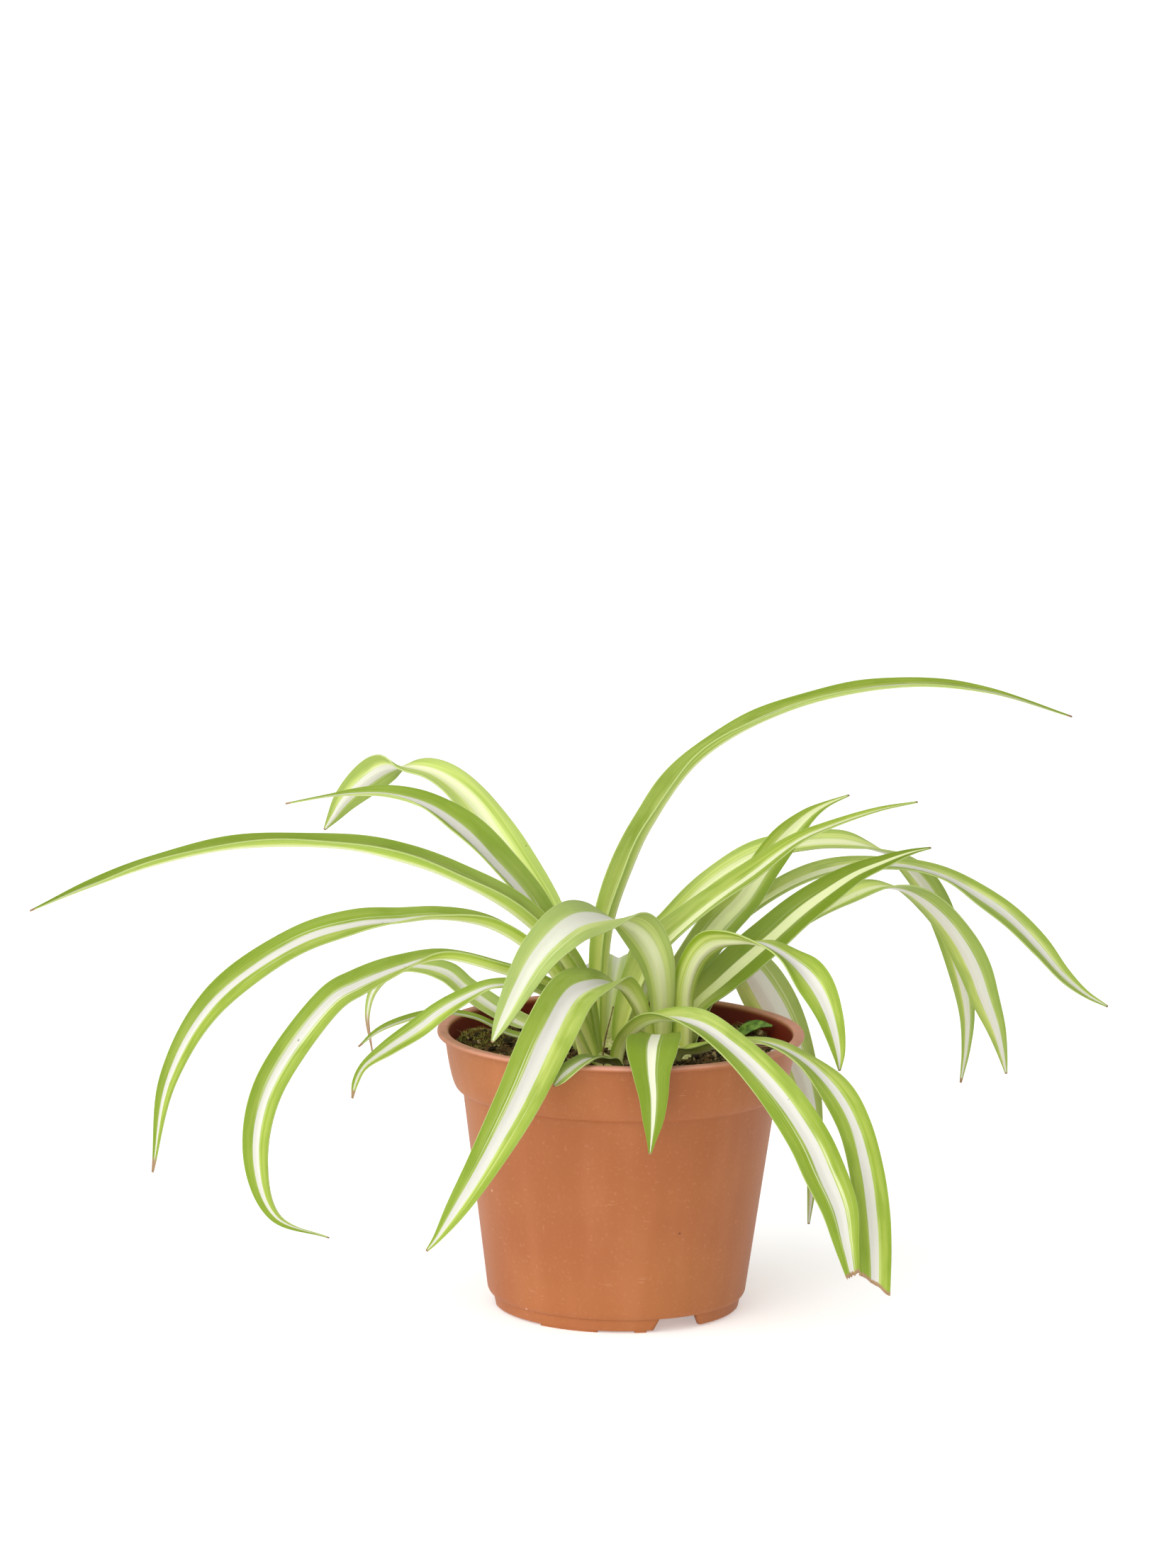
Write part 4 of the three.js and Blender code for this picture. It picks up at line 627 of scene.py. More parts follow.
def floor_sector(start, stop):
    """One share of the floor plate between two angles in degrees, with its drain hole: on both
    faces, rings that pass evenly from the round hole to the sector's four-sided edge, joined at
    the hole and at the edge."""
    corners = [(FLOOR_TO, start), (FLOOR_TO, stop), (FLOOR_FROM, stop), (FLOOR_FROM, start)]
    radius, angle = divided(np.array(corners), [FLOOR_PARTS] * 4).T
    edge = polar(radius, np.radians(angle), 0)
    hole_at = polar(DRAIN_RING, np.radians((start + stop) / 2), 0)
    way = edge - hole_at
    hole = hole_at + polar(DRAIN_RADIUS, np.arctan2(way[:, 1], way[:, 0]), 0)
    share = np.linspace(0, 1, FLOOR_RINGS)[:, None, None]
    sheet = hole[None] * (1 - share) + edge[None] * share
    # In over the top and out under the bottom, so the first and last ring meet at the edge.
    loops = np.concatenate([sheet[::-1] + [0, 0, FLOOR_TOP - 0.3], sheet + [0, 0, LIP]])
    faces = grid_faces(len(loops), len(edge), around=True, looped=True)[:, ::-1]
    return loops.reshape(-1, 3), [faces]


def pot_wobble(points):
    """A slight out-of-round, strongest at the thin rim: the radius and the rim's height follow
    slow waves of the angle."""
    angle = np.arctan2(points[..., 1], points[..., 0])
    rise = smooth(WOBBLE_FROM, RIM_TOP, points[..., 2])
    out, up = (rise * sum(height * np.sin(count * angle + start) for height, count, start in rows)
               for rows in (RIM_OUT, RIM_UP))
    return points * np.stack([1 + out, 1 + out, 1 + 0 * out], -1) + up[..., None] * [0, 0, 1]


def build_pot(material):
    """The pot: a turned wall, a foot ring in three stretches between its notches, pads, and a
    floor with drain holes and a centre pad."""
    wall = rounded(POT_CORNERS, 5)
    spans = np.linalg.norm(np.roll(wall, -1, 0) - wall, axis=1)
    wall = divided(wall, np.maximum(1, np.ceil(spans / POT_STEP)).astype(int))
    parts = [turned_skin(wall, POT_SIDES, pot_wobble)]
    foot, pad = rounded(FOOT_CORNERS, 4), rounded(PAD_CORNERS, 3)
    half_notch, half_top = np.degrees(np.arcsin(np.array(NOTCH_WIDTHS) / 2 / FOOT_RADIUS))
    third = 360 / len(NOTCH_ANGLES)
    for notch in NOTCH_ANGLES:
        parts.append(arc_bar(foot, notch + half_notch, notch + third - half_notch, 60,
                             half_notch - half_top))
    for start, stop in PAD_SPANS:
        for turn in (0, third, 2 * third):
            parts.append(arc_bar(pad, start + turn, stop + turn, 16))
    width = 360 / DRAIN_COUNT
    for i in range(DRAIN_COUNT):
        parts.append(floor_sector(i * width, (i + 1) * width))
    centre = rounded([(CENTRE_HOLE, 0, 0.1), (CENTRE_PAD, 0, 0.8),
                      (CENTRE_PAD + 1.5, CENTRE_TOP, 0.3), (CENTRE_HOLE, CENTRE_TOP, 0.1)], 4)
    parts.append(turned_skin(centre, 64))
    for height, way in ((0, -1), (CENTRE_TOP, 1)):
        disc = polar(CENTRE_HOLE + 0.2, circle(24), height)
        faces = fan_faces(np.arange(len(disc)), len(disc))[:, ::way]
        parts.append((np.concatenate([disc, [[0, 0, height]]]), [faces]))
    points, face_sets = join_parts(parts)
    radius, height = np.hypot(points[:, 0], points[:, 1]), points[:, 2]
    # Points inside the wall, on which the pot's material paints shade.
    inside = (height > FLOOR_TOP - 0.5) & (radius < np.interp(height, *MIDDLE_OF_WALL))
    add_piece("pot_shell", points, face_sets, material, "pot_terracotta", "pot", inside=inside)


# ------------------------------------------------------------------ soil and what lies on it

SOIL_TOP = 84
SOIL_GRAIN = 0.45
# Mounds: x, y, radius and height.
SOIL_MOUNDS = [(-45, 8, 16, 4.2), (-36, 30, 15, 1.6), (-40, -24, 15, 1.6), (43, 27, 17, 3.6),
               (46, -4, 13, 1.2), (30, -38, 16, 1), (-17, 42, 16, -4), (8, 46, 15, -3.5)]
# The soil's unevenness: size, height and seed of each set of waves.
SOIL_WAVES = ((7, 0.9, 11), (3, 0.6, 12), (1.4, 0.35, 13))
SOIL_EDGE = 54.3
# Crumbs: count, smallest and largest size, and how often their faces are split.
CRUMBS = ((2600, 0.35, 0.8, 0), (420, 0.8, 1.7, 1))
SPLINTERS = 420
SOIL_UNDER = ((53.8, 79), (50, 72), (46, 40), (41.2, 7), (0.3, 6.9))  # radii and heights
# Crowns: name, x, y and radius.
CROWNS = [
    ("crown_front_left", -8, -17, 11), ("crown_front_right", 15, -1.5, 10),
    ("crown_back_left", -5.5, 12.5, 12), ("crown_back_right", 17.5, 18.5, 8.6),
]
CROWN_FOOT, CROWN_TOP = 74, 86.9
# Moss patches: x, y, radius and number of threads.
MOSS = [(-46, 8, 11, 2600), (-40, 20, 9, 1300), (-37, -14, 8, 900), (41, 30, 12, 2300),
        (30, 42, 8, 900), (47, 12, 6, 500), (-24, 40, 7, 600)]
MOSS_GAPS, MOSS_LEVEL = (3.2, 77), -0.25  # size and seed of waves, and where they leave gaps


def soil_height(x, y):
    """Height of the soil in mm: a level with small crossing waves and round mounds."""
    z = SOIL_TOP + SOIL_GRAIN * np.sin(0.31 * x + 1) * np.cos(0.27 * y)
    z = z + 0.7 * SOIL_GRAIN * np.sin(0.55 * x - 0.41 * y + 2)
    for mx, my, radius, height in SOIL_MOUNDS:
        z = z + height * (1 - smooth(0, radius, np.hypot(x - mx, y - my)))
    return z


def rough_height(x, y):
    """The soil's height with its crumbly unevenness, in three sizes of wave."""
    z = soil_height(x, y)
    for size, height, seed in SOIL_WAVES:
        z = z + height * waves(x + 90, y + 90, size, seed)
    return z


def build_soil(material):
    """The soil's skin: rings over the surface out to the pot, down its side and in under it."""
    angle = circle(200)
    top = polar(np.linspace(0.3, SOIL_EDGE, 74)[:, None], angle[None, :], 0)
    top[..., 2] = rough_height(top[..., 0], top[..., 1])
    low = np.stack([polar(radius, angle, z) for radius, z in SOIL_UNDER])
    centres = [[0, 0, rough_height(0.0, 0.0)], [0, 0, SOIL_UNDER[-1][1]]]
    skin = capped(np.concatenate([top, low]), centres, reverse=True)
    add_piece("soil_bed", *skin, material, "potting_mix", "soil")


def ball(level):
    """Points and triangles of a unit icosahedron, each triangle split in four `level` times."""
    g = (1 + 5**0.5) / 2
    points = np.array([(-1, g, 0), (1, g, 0), (-1, -g, 0), (1, -g, 0), (0, -1, g), (0, 1, g),
                       (0, -1, -g), (0, 1, -g), (g, 0, -1), (g, 0, 1), (-g, 0, -1), (-g, 0, 1)])
    faces = np.array([(0, 11, 5), (0, 5, 1), (0, 1, 7), (0, 7, 10), (0, 10, 11), (1, 5, 9),
                      (5, 11, 4), (11, 10, 2), (10, 7, 6), (7, 1, 8), (3, 9, 4), (3, 4, 2),
                      (3, 2, 6), (3, 6, 8), (3, 8, 9), (4, 9, 5), (2, 4, 11), (6, 2, 10),
                      (8, 6, 7), (9, 8, 1)])
    for _ in range(level):
        corners = points[faces]
        mids = (corners + np.roll(corners, -1, 1)) / 2
        every = np.concatenate([corners, mids], 1).reshape(-1, 3)
        points, back = np.unique(np.round(every, 6), axis=0, return_inverse=True)
        split = [[0, 3, 5], [3, 1, 4], [5, 4, 2], [3, 4, 5]]
        faces = np.concatenate([back.reshape(-1, 6)[:, three] for three in split])
    return unit(points), faces


def turns(rng, count):
    """Random rotations, as (count, 3, 3) matrices, from random unit quaternions."""
    w, x, y, z = unit(rng.normal(size=(count, 4))).T
    return np.stack([
        1 - 2 * (y * y + z * z), 2 * (x * y - z * w), 2 * (x * z + y * w),
        2 * (x * y + z * w), 1 - 2 * (x * x + z * z), 2 * (y * z - x * w),
        2 * (x * z - y * w), 2 * (y * z + x * w), 1 - 2 * (x * x + y * y),
    ], -1).reshape(count, 3, 3)


def scatter(rng, count):
    """Random places over the soil, evenly by area."""
    radius = (SOIL_EDGE - 1.5) * np.sqrt(rng.uniform(0, 1, count))
    angle = rng.uniform(0, 2 * np.pi, count)
    return radius * np.cos(angle), radius * np.sin(angle)


def lumps(rng, x, y, sizes, level):
    """Uneven lumps half sunk in the soil: balls with each corner pushed in or out, stretched,
    turned and set down at their places. Returns points, faces and points per lump."""
    points, faces = ball(level)
    count = len(x)
    push = 1 + rng.uniform(-0.28, 0.28, (count, len(points), 1))
    stretch = rng.uniform(0.55, 1.0, (count, 1, 3))
    shape = points[None] * push * stretch * sizes[:, None, None]
    shape = np.einsum("nij,nkj->nki", turns(rng, count), shape)
    centre = np.stack([x, y, rough_height(x, y) + 0.25 * sizes], -1)
    every = (shape + centre[:, None]).reshape(-1, 3)
    return every, [repeated(faces, count, len(points))], len(points)


def strands(rng, x, y, z, length, radius, lean, level=3):
    """Thin three-sided threads that stand or lie at their places: each runs from its foot to a
    tip that leans away, bowed in the middle, and narrows to a point. Returns points, faces and
    points per thread."""
    count, per = len(x), (level + 1) * 3
    way = rng.uniform(0, 2 * np.pi, count)
    tilt = rng.uniform(*lean, count)
    aim = np.stack([np.cos(way) * np.cos(tilt), np.sin(way) * np.cos(tilt), np.sin(tilt)], -1)
    side = np.stack([-np.sin(way), np.cos(way), 0 * way], -1)
    up = np.cross(aim, side)[:, None, None]
    t = np.linspace(0, 1, level + 1)[None, :, None]
    length = length[:, None, None]
    bow = rng.uniform(-0.25, 0.25, (count, 1, 1)) * length
    foot = np.stack([x, y, z], -1)[:, None]
    middle = foot + aim[:, None] * t * length + side[:, None] * bow * t * (1 - t) * 2
    angle = circle(3)[None, None, :, None]
    ring = side[:, None, None] * np.cos(angle) + up * np.sin(angle)
    width = radius[:, None, None, None] * (1 - 0.85 * t[..., None])
    points = middle[:, :, None] + ring * width
    quads = repeated(grid_faces(level + 1, 3, around=True), count, per)
    caps = repeated(np.array([(0, 2, 1), (per - 3, per - 2, per - 1)]), count, per)
    return points.reshape(-1, 3), [quads, caps], per


def clear_of_crowns(x, y, gap):
    """True where a place is outside every crown by that gap."""
    apart = [np.hypot(x - cx, y - cy) > radius + gap for _, cx, cy, radius in CROWNS]
    return np.all(apart, axis=0)


def add_litter(name, batches, material):
    """One piece from batches of points, faces, points per bit and a tone for each bit."""
    points, face_sets = join_parts([batch[:2] for batch in batches])
    tone = np.concatenate([np.repeat(tones, per) for _, _, per, tones in batches])
    add_piece(name, points, face_sets, material, "potting_mix", "soil", flat=True, tone=tone)


def build_crumbs(material):
    """Crumbs of two sizes and thin splinters on the soil. Tones run from 0, dark crumbs, to 1,
    pale bits."""
    rng = np.random.default_rng(20)
    batches = []
    for count, low, high, level in CRUMBS:
        x, y = scatter(rng, count)
        keep = clear_of_crowns(x, y, -2)
        x, y = x[keep], y[keep]
        crumbs = lumps(rng, x, y, rng.uniform(low, high, len(x)), level)
        batches.append((*crumbs, rng.uniform(0, 1, len(x)) ** 2))
    x, y = scatter(rng, SPLINTERS)
    splinters = strands(rng, x, y, rough_height(x, y) + 0.4, rng.uniform(2, 7, len(x)),
                        rng.uniform(0.1, 0.3, len(x)), (-0.1, 0.35))
    batches.append((*splinters, rng.uniform(0.25, 0.8, len(x))))
    add_litter("soil_crumbs", batches, material)


def build_moss(material):
    """Moss: short upright threads crowded over each patch, thinner towards its edge."""
    rng = np.random.default_rng(31)
    batches = []
    for cx, cy, reach, count in MOSS:
        radius = reach * rng.uniform(0, 1, count) ** 0.6
        angle = rng.uniform(0, 2 * np.pi, count)
        x, y = cx + radius * np.cos(angle), cy + radius * np.sin(angle)
        keep = (np.hypot(x, y) < SOIL_EDGE - 1) & clear_of_crowns(x, y, 0.5)
        keep &= waves(x + 50, y + 50, *MOSS_GAPS) > MOSS_LEVEL
        x, y, radius = x[keep], y[keep], radius[keep]
        length = rng.uniform(0.8, 1.9, len(x)) * (1.15 - 0.5 * radius / reach)
        threads = strands(rng, x, y, rough_height(x, y) - 0.2, length,
                          rng.uniform(0.12, 0.22, len(x)), (0.5, 1.5), 1)
        batches.append((*threads, rng.uniform(0, 1, len(x))))
    add_litter("moss", batches, material)


def build_crown(name, cx, cy, radius, turn, material):
    """A crown: a low dome whose skin is folded like overlapping leaf bases. Its radius swells
    and pinches with the angle, and the folds lean as they rise."""
    angle, t = circle(120)[None, :], np.linspace(0, 1, 26)[:, None]
    lean = angle + 0.5 * t + turn
    spread = radius * np.sqrt(np.clip(1 - (0.97 * t) ** 3, 0, 1))
    spread = spread * (1 + 0.05 * np.sin(5 * lean) + 0.035 * np.abs(np.sin(4.5 * lean + 1)))
    z = CROWN_FOOT + (CROWN_TOP - CROWN_FOOT) * t + 0.5 * np.sin(5 * lean) * t
    skin = capped(polar(spread, angle, z) + [cx, cy, 0],
                  [[cx, cy, CROWN_FOOT], [cx, cy, CROWN_TOP + 0.1]])
    add_piece(name + "_skin", *skin, material, "crown_pale", name)


# ------------------------------------------------------------------ small things on the soil

STALK_PATH = [(-4.5, -27.5, 80), (-5.5, -27.5, 90), (-2.5, -26, 105)]
CHIP_ENDS = ((42, 10), (52, 7))
CHIP_HALVES = (1.9, 1.05)  # half its width and half its thickness
PERLITE_AT = (50.5, -3)
PERLITE_HALVES = (1.7, 1.7, 1.3)


def build_stalk(material):
    """The dry stalk: a thin tube along a curve, swollen at joints and pinched between them."""
    samples, lengths, _ = spline(STALK_PATH)
    share = np.linspace(0, 1, 60)
    middle, along = evenly(samples, lengths, share)
    u = unit(np.cross(along, [0, 1, 0]))
    v = np.cross(along, u)
    angle = circle(8)[None, :, None]
    radius = (0.3 - 0.16 * share + 0.07 * np.sin(share * 40) ** 8)[:, None, None]
    points = middle[:, None] + radius * (u[:, None] * np.cos(angle) + v[:, None] * np.sin(angle))
    skin = capped(points, middle[[0, -1]])
    add_piece("dry_stalk_fine", *skin, material, "dry_stalk", "dry_stalk")


def build_chip(material):
    """The bark chip: a ball stretched along its length, split by lengthwise furrows and torn
    at its ends."""
    points, faces = ball(4)
    start, stop = (np.array([x, y, soil_height(x, y) + 1.2]) for x, y in CHIP_ENDS)
    length = np.linalg.norm(stop - start)
    along = (stop - start) / length
    side = unit(np.cross([0, 0, 1], along))
    up = np.cross(along, side)
    turn = np.arctan2(points[:, 2], points[:, 1])
    furrow = 1 + 0.13 * np.sin(7 * turn + 1) + 0.1 * waves(points[:, 0] * 6, turn * 3, 1, 5)
    body = np.sign(points[:, 0]) * np.abs(points[:, 0]) ** 0.8 * length / 2
    body = body * (1 + 0.08 * np.sin(3 * turn))
    width, height = (points[:, k + 1] * CHIP_HALVES[k] * furrow for k in range(2))
    shape = body[:, None] * along + width[:, None] * side + height[:, None] * up
    add_piece("bark_chip_fine", shape + (start + stop) / 2, [faces], material, "bark",
              "bark_chip")


def build_perlite(material):
    """The perlite grain: a ball dented by waves of two sizes."""
    points, faces = ball(3)
    x, y = PERLITE_AT
    dent = 1 + 0.16 * waves(points[:, 0] * 3 + 9, points[:, 1] * 3 + 9, 1, 8)
    dent = dent + 0.1 * waves(points[:, 2] * 5 + 9, points[:, 0] * 5 + 9, 1, 9)
    shape = points * dent[:, None] * PERLITE_HALVES + [x, y, soil_height(x, y) + 1]
    add_piece("perlite_fine", shape, [faces], material, "perlite", "perlite_grain")


# ------------------------------------------------------------------ materials

# A Mix node's share and two colours, and the colour it gives.
MIX_INPUTS, MIX_OUTPUT = (0, 6, 7), 2


def colour(code):
    """A screen colour such as c4724b as linear red, green, blue and 1."""
    rgb = np.array([int(code[i:i + 2], 16) for i in (0, 2, 4)]) / 255
    linear = np.where(rgb <= 0.04045, rgb / 12.92, ((rgb + 0.055) / 1.055) ** 2.4)
    return (*[float(v) for v in linear], 1.0)


class Graph:
    """Short ways to place shader nodes. A value is a number, a screen colour's code or another
    node's output."""

    def __init__(self, tree):
        self.tree = tree

    def join(self, value, socket):
        if isinstance(value, bpy.types.NodeSocket):
            self.tree.links.new(value, socket)
        else:
            socket.default_value = colour(value) if isinstance(value, str) else value

    def put(self, kind, inputs=(), output=0, **settings):
        """A new node with values joined to its inputs by number or name. Returns the output
        asked for, or all of them for None."""
        node = self.tree.nodes.new(kind)
        for key, value in settings.items():
            setattr(node, key, value)
        for key, value in dict(inputs).items():
            self.join(value, node.inputs[key])
        return node.outputs if output is None else node.outputs[output]

    def math(self, operation, *values):
        return self.put("ShaderNodeMath", enumerate(values), operation=operation)

    def times(self, *values):
        return reduce(partial(self.math, "MULTIPLY"), values)

    def plus(self, *values):
        return reduce(partial(self.math, "ADD"), values)

    def minus(self, first, second):
        return self.math("SUBTRACT", first, second)

    def step(self, low, high, value):
        """0 below low, 1 above high, a smooth rise between; low above high turns it round."""
        inputs = {"Value": value, "From Min": low, "From Max": high}
        return self.put("ShaderNodeMapRange", inputs, interpolation_type="SMOOTHSTEP")

    def mix(self, *values):
        """The first colour where the share is 0, the second where it is 1."""
        return self.put("ShaderNodeMix", zip(MIX_INPUTS, values), MIX_OUTPUT, data_type="RGBA")

    def paint(self, base, over, *shares):
        """The base with a colour laid over it by the product of the shares."""
        return self.mix(self.times(*shares), base, over)

    def noise(self, vector, scale, detail=2):
        """Noise at one scale, or at three along X, Y and Z."""
        if isinstance(scale, tuple):
            vector, scale = self.stretch(vector, scale), 1.0
        return self.put("ShaderNodeTexNoise",
                        {"Vector": vector, "Scale": scale, "Detail": detail})

    def cells(self, vector, scale):
        """The distance to the nearest of scattered points, and three random values of it."""
        cell = self.put("ShaderNodeTexVoronoi", {"Vector": vector, "Scale": scale}, None)
        return cell["Distance"], self.parts(cell["Color"], "Color")

    def vector(self, *values):
        return self.put("ShaderNodeCombineXYZ", enumerate(values))

    def stretch(self, vector, scales):
        return self.put("ShaderNodeVectorMath", {0: vector, 1: scales}, operation="MULTIPLY")

    def parts(self, vector, kind="XYZ"):
        return self.put("ShaderNodeSeparate" + kind, {0: vector}, None)

    def attribute(self, name):
        return self.parts(self.put("ShaderNodeAttribute", output="Vector", attribute_name=name))

    def place(self):
        return self.put("ShaderNodeTexCoord", output="Object")

    def bump(self, height, distance, strength):
        inputs = {"Height": height, "Distance": distance, "Strength": strength}
        return self.put("ShaderNodeBump", inputs)

    def mask(self, tree, **values):
        """The mask that a group gives for those values."""
        return self.put("ShaderNodeGroup", values, "Mask", node_tree=tree)


class Finish(Graph):
    """A material with one Principled shader, whose sockets are set by name."""

    def __init__(self, name, **constants):
        self.material = bpy.data.materials.new(name)
        self.material.use_nodes = True
        super().__init__(self.material.node_tree)
        self.set(**constants)

    def set(self, **values):
        shader = self.tree.nodes["Principled BSDF"]
        for key, value in values.items():
            self.join(value, shader.inputs[key.replace("_", " ")])
        return self.material


def new_mask(name, *numbers):
    """A shader node group that gives a mask from a vector and those numbers. Returns the group,
    its graph, the sockets that come in, and the one that takes the mask."""
    tree = bpy.data.node_groups.new(name, "ShaderNodeTree")
    tree.interface.new_socket(name="Vector", in_out="INPUT", socket_type="NodeSocketVector")
    for number in numbers:
        tree.interface.new_socket(name=number, in_out="INPUT", socket_type="NodeSocketFloat")
    tree.interface.new_socket(name="Mask", in_out="OUTPUT", socket_type="NodeSocketFloat")
    g = Graph(tree)
    mask = tree.nodes.new("NodeGroupOutput").inputs["Mask"]
    return tree, g, g.put("NodeGroupInput", output=None), mask


def specks_group():
    """Small round specks: a mask of cells, of which a share given by Amount shows a speck of
    at most the given Size."""
    tree, g, given, out = new_mask("specks", "Scale", "Amount", "Size")
    distance, (choice, scale, _) = g.cells(given["Vector"], given["Scale"])
    chosen = g.math("LESS_THAN", choice, given["Amount"])
    size = g.times(given["Size"], scale)
    g.join(g.times(g.step(size, g.times(size, 0.4), distance), chosen), out)
    return tree


def scratches_group():
    """Fine scratches: a mask of thin broken lines along one direction of the vector."""
    tree, g, given, out = new_mask("scratches", "Amount")
    lines = g.noise(given["Vector"], (150, 220, 1300), 1)
    broken = g.noise(given["Vector"], (50, 50, 80), 1)
    g.join(g.times(g.step(0.72, 0.76, lines), g.step(0.5, 0.62, broken), given["Amount"]), out)
    return tree


def leaf_material(specks):
    """A striped blade. Veins run along it and converge at its ends. The upper face has a white
    stripe along the rib, crisp on one side and streaky on the other, with paler lines beside it,
    and green outer parts that darken towards the margin. The under side is paler, with a soft
    cream stripe and darker veins. The base is bleached, and lightened further as painted light
    for the shaded crown. The tip is dry and brown for its stated length."""
    g = Finish("striped_leaf", Roughness=0.45, Subsurface_Weight=0.2, Subsurface_Scale=0.0003,
               Subsurface_Radius=(1.0, 1.0, 0.6), Specular_IOR_Level=0.25)
    u, f, upper = g.attribute("place")
    _, along, to_tip = g.attribute("measured")
    stripe, pale, brown = g.attribute("tone")
    shift, deep, cream = g.attribute("kind")
    vein = g.vector(g.plus(u, shift), g.times(along, 0.01), g.times(upper, 3.0))
    thread = g.noise(vein, (40, 2.5, 1), 0)
    fine = g.noise(vein, (15, 1.2, 1), 1)
    broad = g.noise(vein, (3.2, 1.6, 1), 1)
    drift = g.noise(vein, (0.9, 3, 1), 1)
    blotch = g.noise(vein, (1.8, 7, 1), 2)
    # The distance past the stripe's edge, which drifts and is streaky on one side.
    size = g.math("ABSOLUTE", u)
    ragged = g.times(g.minus(fine, 0.5), g.step(0.0, 0.3, u))
    warped = g.plus(size, g.times(g.minus(drift, 0.5), 0.13), g.times(ragged, 0.18))
    side = g.minus(warped, stripe)
    # The upper face: light and dark veins, a pale strip beside the stripe, the margin, a pale
    # base that is partly painted light, blotches, the darker half, deep leaves and pale lines.
    green = g.mix(g.step(0.32, 0.68, broad), "95ab31", "b2c058")
    green = g.paint(green, "c6d280", g.step(0.5, 0.7, fine), 0.4)
    green = g.paint(green, "80971f", g.step(0.5, 0.3, thread), 0.3)
    green = g.paint(green, "ccd884", g.step(0.26, 0.0, side), g.step(0.2, 0.6, fine), 0.7)
    green = g.paint(green, "7d9822", g.step(0.5, 0.95, size), 0.65)
    # Paler towards the base: partly the leaf's own colour, partly painted light for the shaded
    # crown.
    green = g.paint(green, "c6d283", g.step(0.7, 0.15, f), 0.45)
    green = g.paint(green, "7c9620", g.step(0.42, 0.7, blotch), 0.5)
    green = g.paint(green, "769220", g.step(-0.1, 0.45, u), g.step(0.05, 0.4, f), 0.45)
    green = g.paint(green, "6c8410", deep)
    beside = g.times(g.step(0.02, 0.05, side), g.step(0.34, 0.14, side))
    line = g.times(g.step(0.60, 0.66, fine), beside)
    green = g.paint(green, "e2e6c0", line, g.minus(0.6, g.times(deep, 0.5)))
    white = g.mix(g.times(g.step(0.56, 0.78, fine), 0.4), "d2d0c6", "c9ceaa")
    white = g.paint(white, "c8c8bb", g.step(0.35, 0.7, blotch), 0.25)
    white = g.paint(white, "dfe6a6", cream)
    top = g.mix(g.step(-0.022, 0.03, side), white, green)
    # The under side: veins, a soft stripe, the margin and deep leaves.
    under_green = g.mix(g.step(0.32, 0.66, broad), "b0c842", "d9e682")
    under_green = g.paint(under_green, "85a327", g.step(0.48, 0.34, fine), 0.4)
    under_white = g.mix(g.step(0.45, 0.85, fine), "f0f3c4", "dfe89c")
    under = g.mix(g.step(-0.1, 0.12, side), under_white, under_green)
    under = g.paint(under, "8caa2c", g.step(0.55, 0.92, size), 0.6)
    under = g.paint(under, "80a020", deep, 0.8)
    # Bleached base, partly painted light, pale leaves, pale margin line, dry tip and dark spots.
    # The bleached base: the plant's own pale colour, made brighter as painted light where the crown
    # shades it.
    base = g.mix(g.step(0.35, 0.75, broad), "f8fca0", "deec6c")
    base = g.paint(base, "9cbe24", g.step(0.5, 0.95, size), 0.8)
    skin = g.paint(g.mix(upper, under, top), base, g.step(0.32, 0.06, f), 0.75)
    skin = g.paint(skin, "dbe4b4", pale)
    skin = g.paint(skin, "d6dda4", g.step(0.97, 0.995, size), 0.35)
    uneven = g.plus(brown, g.times(g.minus(fine, 0.5), brown))
    straw = g.mix(fine, "8a6a48", "b89a74")
    skin = g.paint(skin, straw, g.step(uneven, g.times(uneven, 0.75), to_tip))
    spots = g.vector(g.plus(g.times(u, 7.0), shift), along, g.times(upper, 50.0))
    dark = g.mask(specks, Vector=spots, Scale=0.28, Amount=0.07, Size=0.16)
    height = g.plus(g.times(thread, 0.6), g.times(fine, 0.8))
    return g.set(Base_Color=g.paint(skin, "4d5a2a", dark, 0.7),
                 Roughness=g.plus(0.38, g.times(blotch, 0.2)),
                 Normal=g.bump(height, 0.00012, 0.6))


def crown_material():
    """Pale fleshy leaf bases: cream with green upright streaks and brownish blotches."""
    g = Finish("pale_crown", Roughness=0.45, Subsurface_Weight=0.15, Subsurface_Scale=0.002)
    streak = g.noise(g.place(), (900, 900, 60))
    tint = g.mix(g.step(0.4, 0.65, streak), "e4e2a4", "bcc45e")
    tint = g.paint(tint, "8e7e48", g.step(0.55, 0.75, g.noise(g.place(), 260)), 0.5)
    return g.set(Base_Color=tint, Normal=g.bump(streak, 0.0002, 0.7))


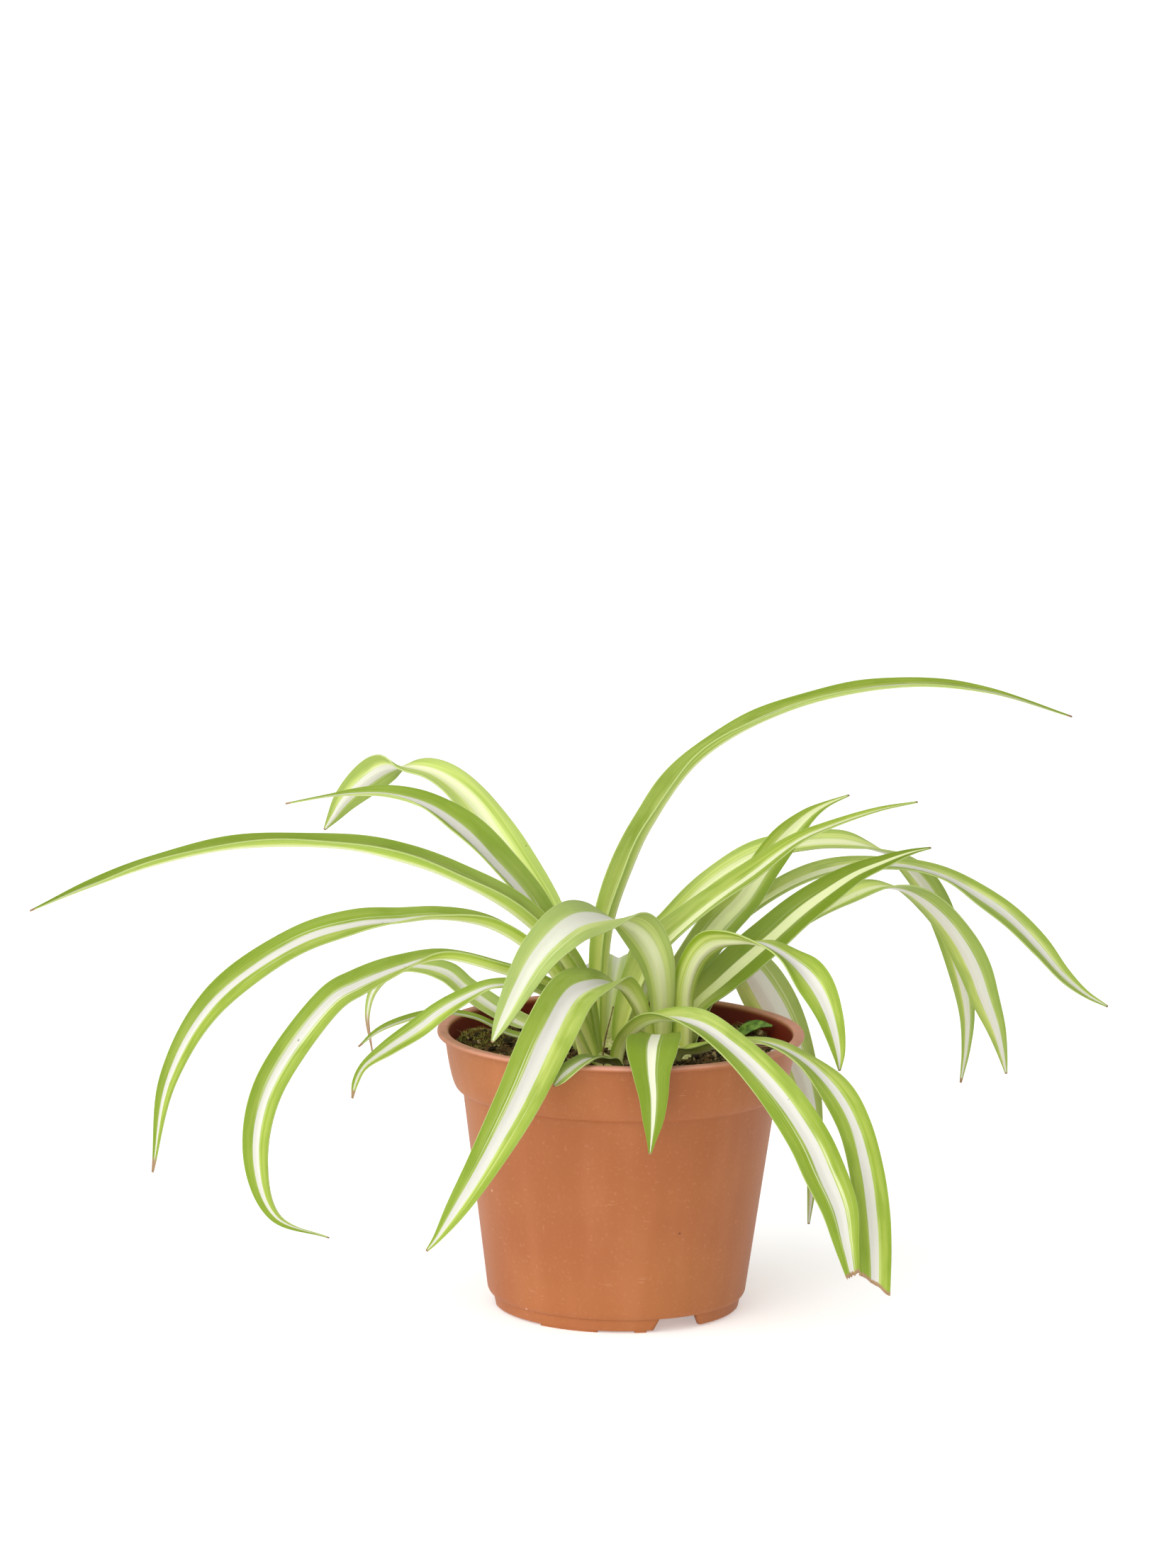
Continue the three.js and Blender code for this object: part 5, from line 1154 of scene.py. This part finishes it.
def pot_material(specks, scratches):
    """Thin terracotta-coloured plastic: even colour with slow clouds, light and dark specks,
    fine scratches, a rubbed pinkish rim and painted shade that darkens the walls inside."""
    g = Finish("terracotta_plastic", Roughness=0.5, Specular_IOR_Level=0.28)
    spot = g.place()
    x, y, z = g.parts(spot)
    radius = g.math("SQRT", g.plus(g.times(x, x), g.times(y, y)))
    cloud = g.noise(spot, (14, 14, 22), 3)
    flow = g.noise(spot, (90, 90, 12))
    grain = g.noise(spot, 900)
    pale = g.mask(specks, Vector=spot, Scale=170.0, Amount=0.12, Size=0.11)
    lower = g.stretch(spot, (1, 1, 1.3))
    dark = g.mask(specks, Vector=lower, Scale=150.0, Amount=0.28, Size=0.12)
    lines = g.mask(scratches, Vector=spot, Amount=0.2)
    rim = g.times(g.step(*RIM_STARTS, z), g.step(*RIM_WITHIN, radius))
    worn = g.times(rim, g.plus(0.55, g.times(g.noise(spot, 300), 0.5)))
    inside, _, _ = g.attribute("inside")
    tint = g.mix(g.step(0.35, 0.7, cloud), "9e5b31", "a66537")
    tint = g.paint(tint, "d08a63", g.step(0.4, 0.75, flow), 0.1)
    tint = g.paint(tint, "dca382", g.step(0.55, 0.8, grain), 0.12)
    tint = g.paint(tint, "e2b79a", pale, 0.6)
    tint = g.paint(tint, "5e3424", dark, 0.8)
    tint = g.paint(tint, "dca88a", lines)
    tint = g.paint(tint, "cf9580", worn)
    # Painted shade: the inner wall is darkened below the rim, where the soil and leaves shade it.
    tint = g.paint(tint, "762410", inside, g.step(*INSIDE_SHADE_ENDS, z))
    rough = g.plus(0.46, g.times(cloud, 0.12), g.times(g.plus(lines, worn), 0.15))
    height = g.plus(g.times(grain, 0.3), g.times(flow, 0.3), g.times(dark, 0.6))
    height = g.minus(height, g.times(lines, 0.5))
    return g.set(Base_Color=tint, Roughness=rough, Normal=g.bump(height, 0.00012, 0.5))


def soil_material():
    """Moist potting mix: near-black browns with pale and mossy crumbs."""
    g = Finish("potting_mix", Roughness=0.95, Specular_IOR_Level=0.2)
    spot = g.place()
    fine = g.noise(spot, 1400, 3)
    _, (pale, mossy, _) = g.cells(spot, 700)
    tint = g.mix(g.step(0.35, 0.7, g.noise(spot, 130, 3)), "2e2213", "5c4425")
    tint = g.paint(tint, "8f7042", g.step(0.5, 0.72, fine), 0.8)
    tint = g.paint(tint, "b49c72", g.step(0.93, 0.95, pale), 0.7)
    tint = g.paint(tint, "5f6a2c", g.step(0.9, 0.93, mossy), 0.5)
    return g.set(Base_Color=tint, Normal=g.bump(fine, 0.0006, 0.8))


def crumb_material():
    """Crumbs and splinters: dark brown to pale straw by each one's tone."""
    g = Finish("soil_crumbs", Roughness=0.92, Specular_IOR_Level=0.2)
    tone, _, _ = g.attribute("tone")
    fine = g.noise(g.place(), 1800)
    tint = g.mix(g.step(0.1, 0.6, tone), "2f2616", "76603a")
    tint = g.paint(tint, "bfac7c", g.step(0.6, 0.95, tone))
    tint = g.paint(tint, "241a10", fine, 0.3)
    return g.set(Base_Color=tint, Normal=g.bump(fine, 0.0003, 0.6))


def moss_material():
    """Moss threads: olive to straw-green by tone, brown in patches."""
    g = Finish("moss", Roughness=0.9, Specular_IOR_Level=0.15)
    tone, _, _ = g.attribute("tone")
    tint = g.mix(g.step(0.2, 0.9, tone), "66662a", "b2ac58")
    tint = g.paint(tint, "6e562a", g.step(0.45, 0.65, g.noise(g.place(), 320)))
    return g.set(Base_Color=tint)


def plain_material(name, dark, light, scale, roughness, height, direction=(1, 1, 1)):
    """A small thing's finish: two colours mixed by noise, with bump from the same noise."""
    g = Finish(name, Roughness=roughness)
    grain = g.noise(g.stretch(g.place(), direction), scale, 3)
    tint = g.mix(g.step(0.35, 0.7, grain), dark, light)
    return g.set(Base_Color=tint, Normal=g.bump(grain, height, 0.8))


# ------------------------------------------------------------------ the whole

FLOOR_HALF = 12.0  # m
FLOOR_GLOW = 0.34


def build_floor():
    """A plain pale floor."""
    corners = np.array([(-1, -1, 0), (1, -1, 0), (1, 1, 0), (-1, 1, 0)]) * FLOOR_HALF
    mesh = build_mesh("floor", corners, [np.array([[0, 1, 2, 3]])])
    g = Finish("pale_floor", Roughness=0.9, Specular_IOR_Level=0.0, Emission_Color="ffffff",
               Emission_Strength=FLOOR_GLOW, Base_Color=(0.94, 0.94, 0.94, 1))
    mesh.materials.append(g.material)
    link("floor", mesh)


place_camera()
place_lights()
build_floor()
specks = specks_group()
scratches = scratches_group()
striped_leaf = leaf_material(specks)
pale_crown = crown_material()
build_pot(pot_material(specks, scratches))
build_soil(soil_material())
build_crumbs(crumb_material())
build_moss(moss_material())
for index, (name, cx, cy, radius) in enumerate(CROWNS):
    build_crown(name, cx, cy, radius, index, pale_crown)
for index, leaf in enumerate(LEAVES):
    build_blade(leaf, index + 1, striped_leaf, "leaf_variegated")
weed_green = plain_material("weed_green", "456a18", "84aa40", 500, 0.45, 0.0001)
build_blade(WEED, 60, weed_green, "weed_green")
build_stalk(plain_material("dry_stalk", "5c3c22", "94704a", 900, 0.85, 0.0002, (1, 1, 0.2)))
build_chip(plain_material("bark", "3c2a1d", "8a6647", 500, 0.9, 0.0004, (0.5, 2, 2)))
build_perlite(plain_material("perlite", "cfcfca", "f1f1ee", 900, 0.85, 0.0002))

bpy.context.scene.view_settings.view_transform = "Standard"
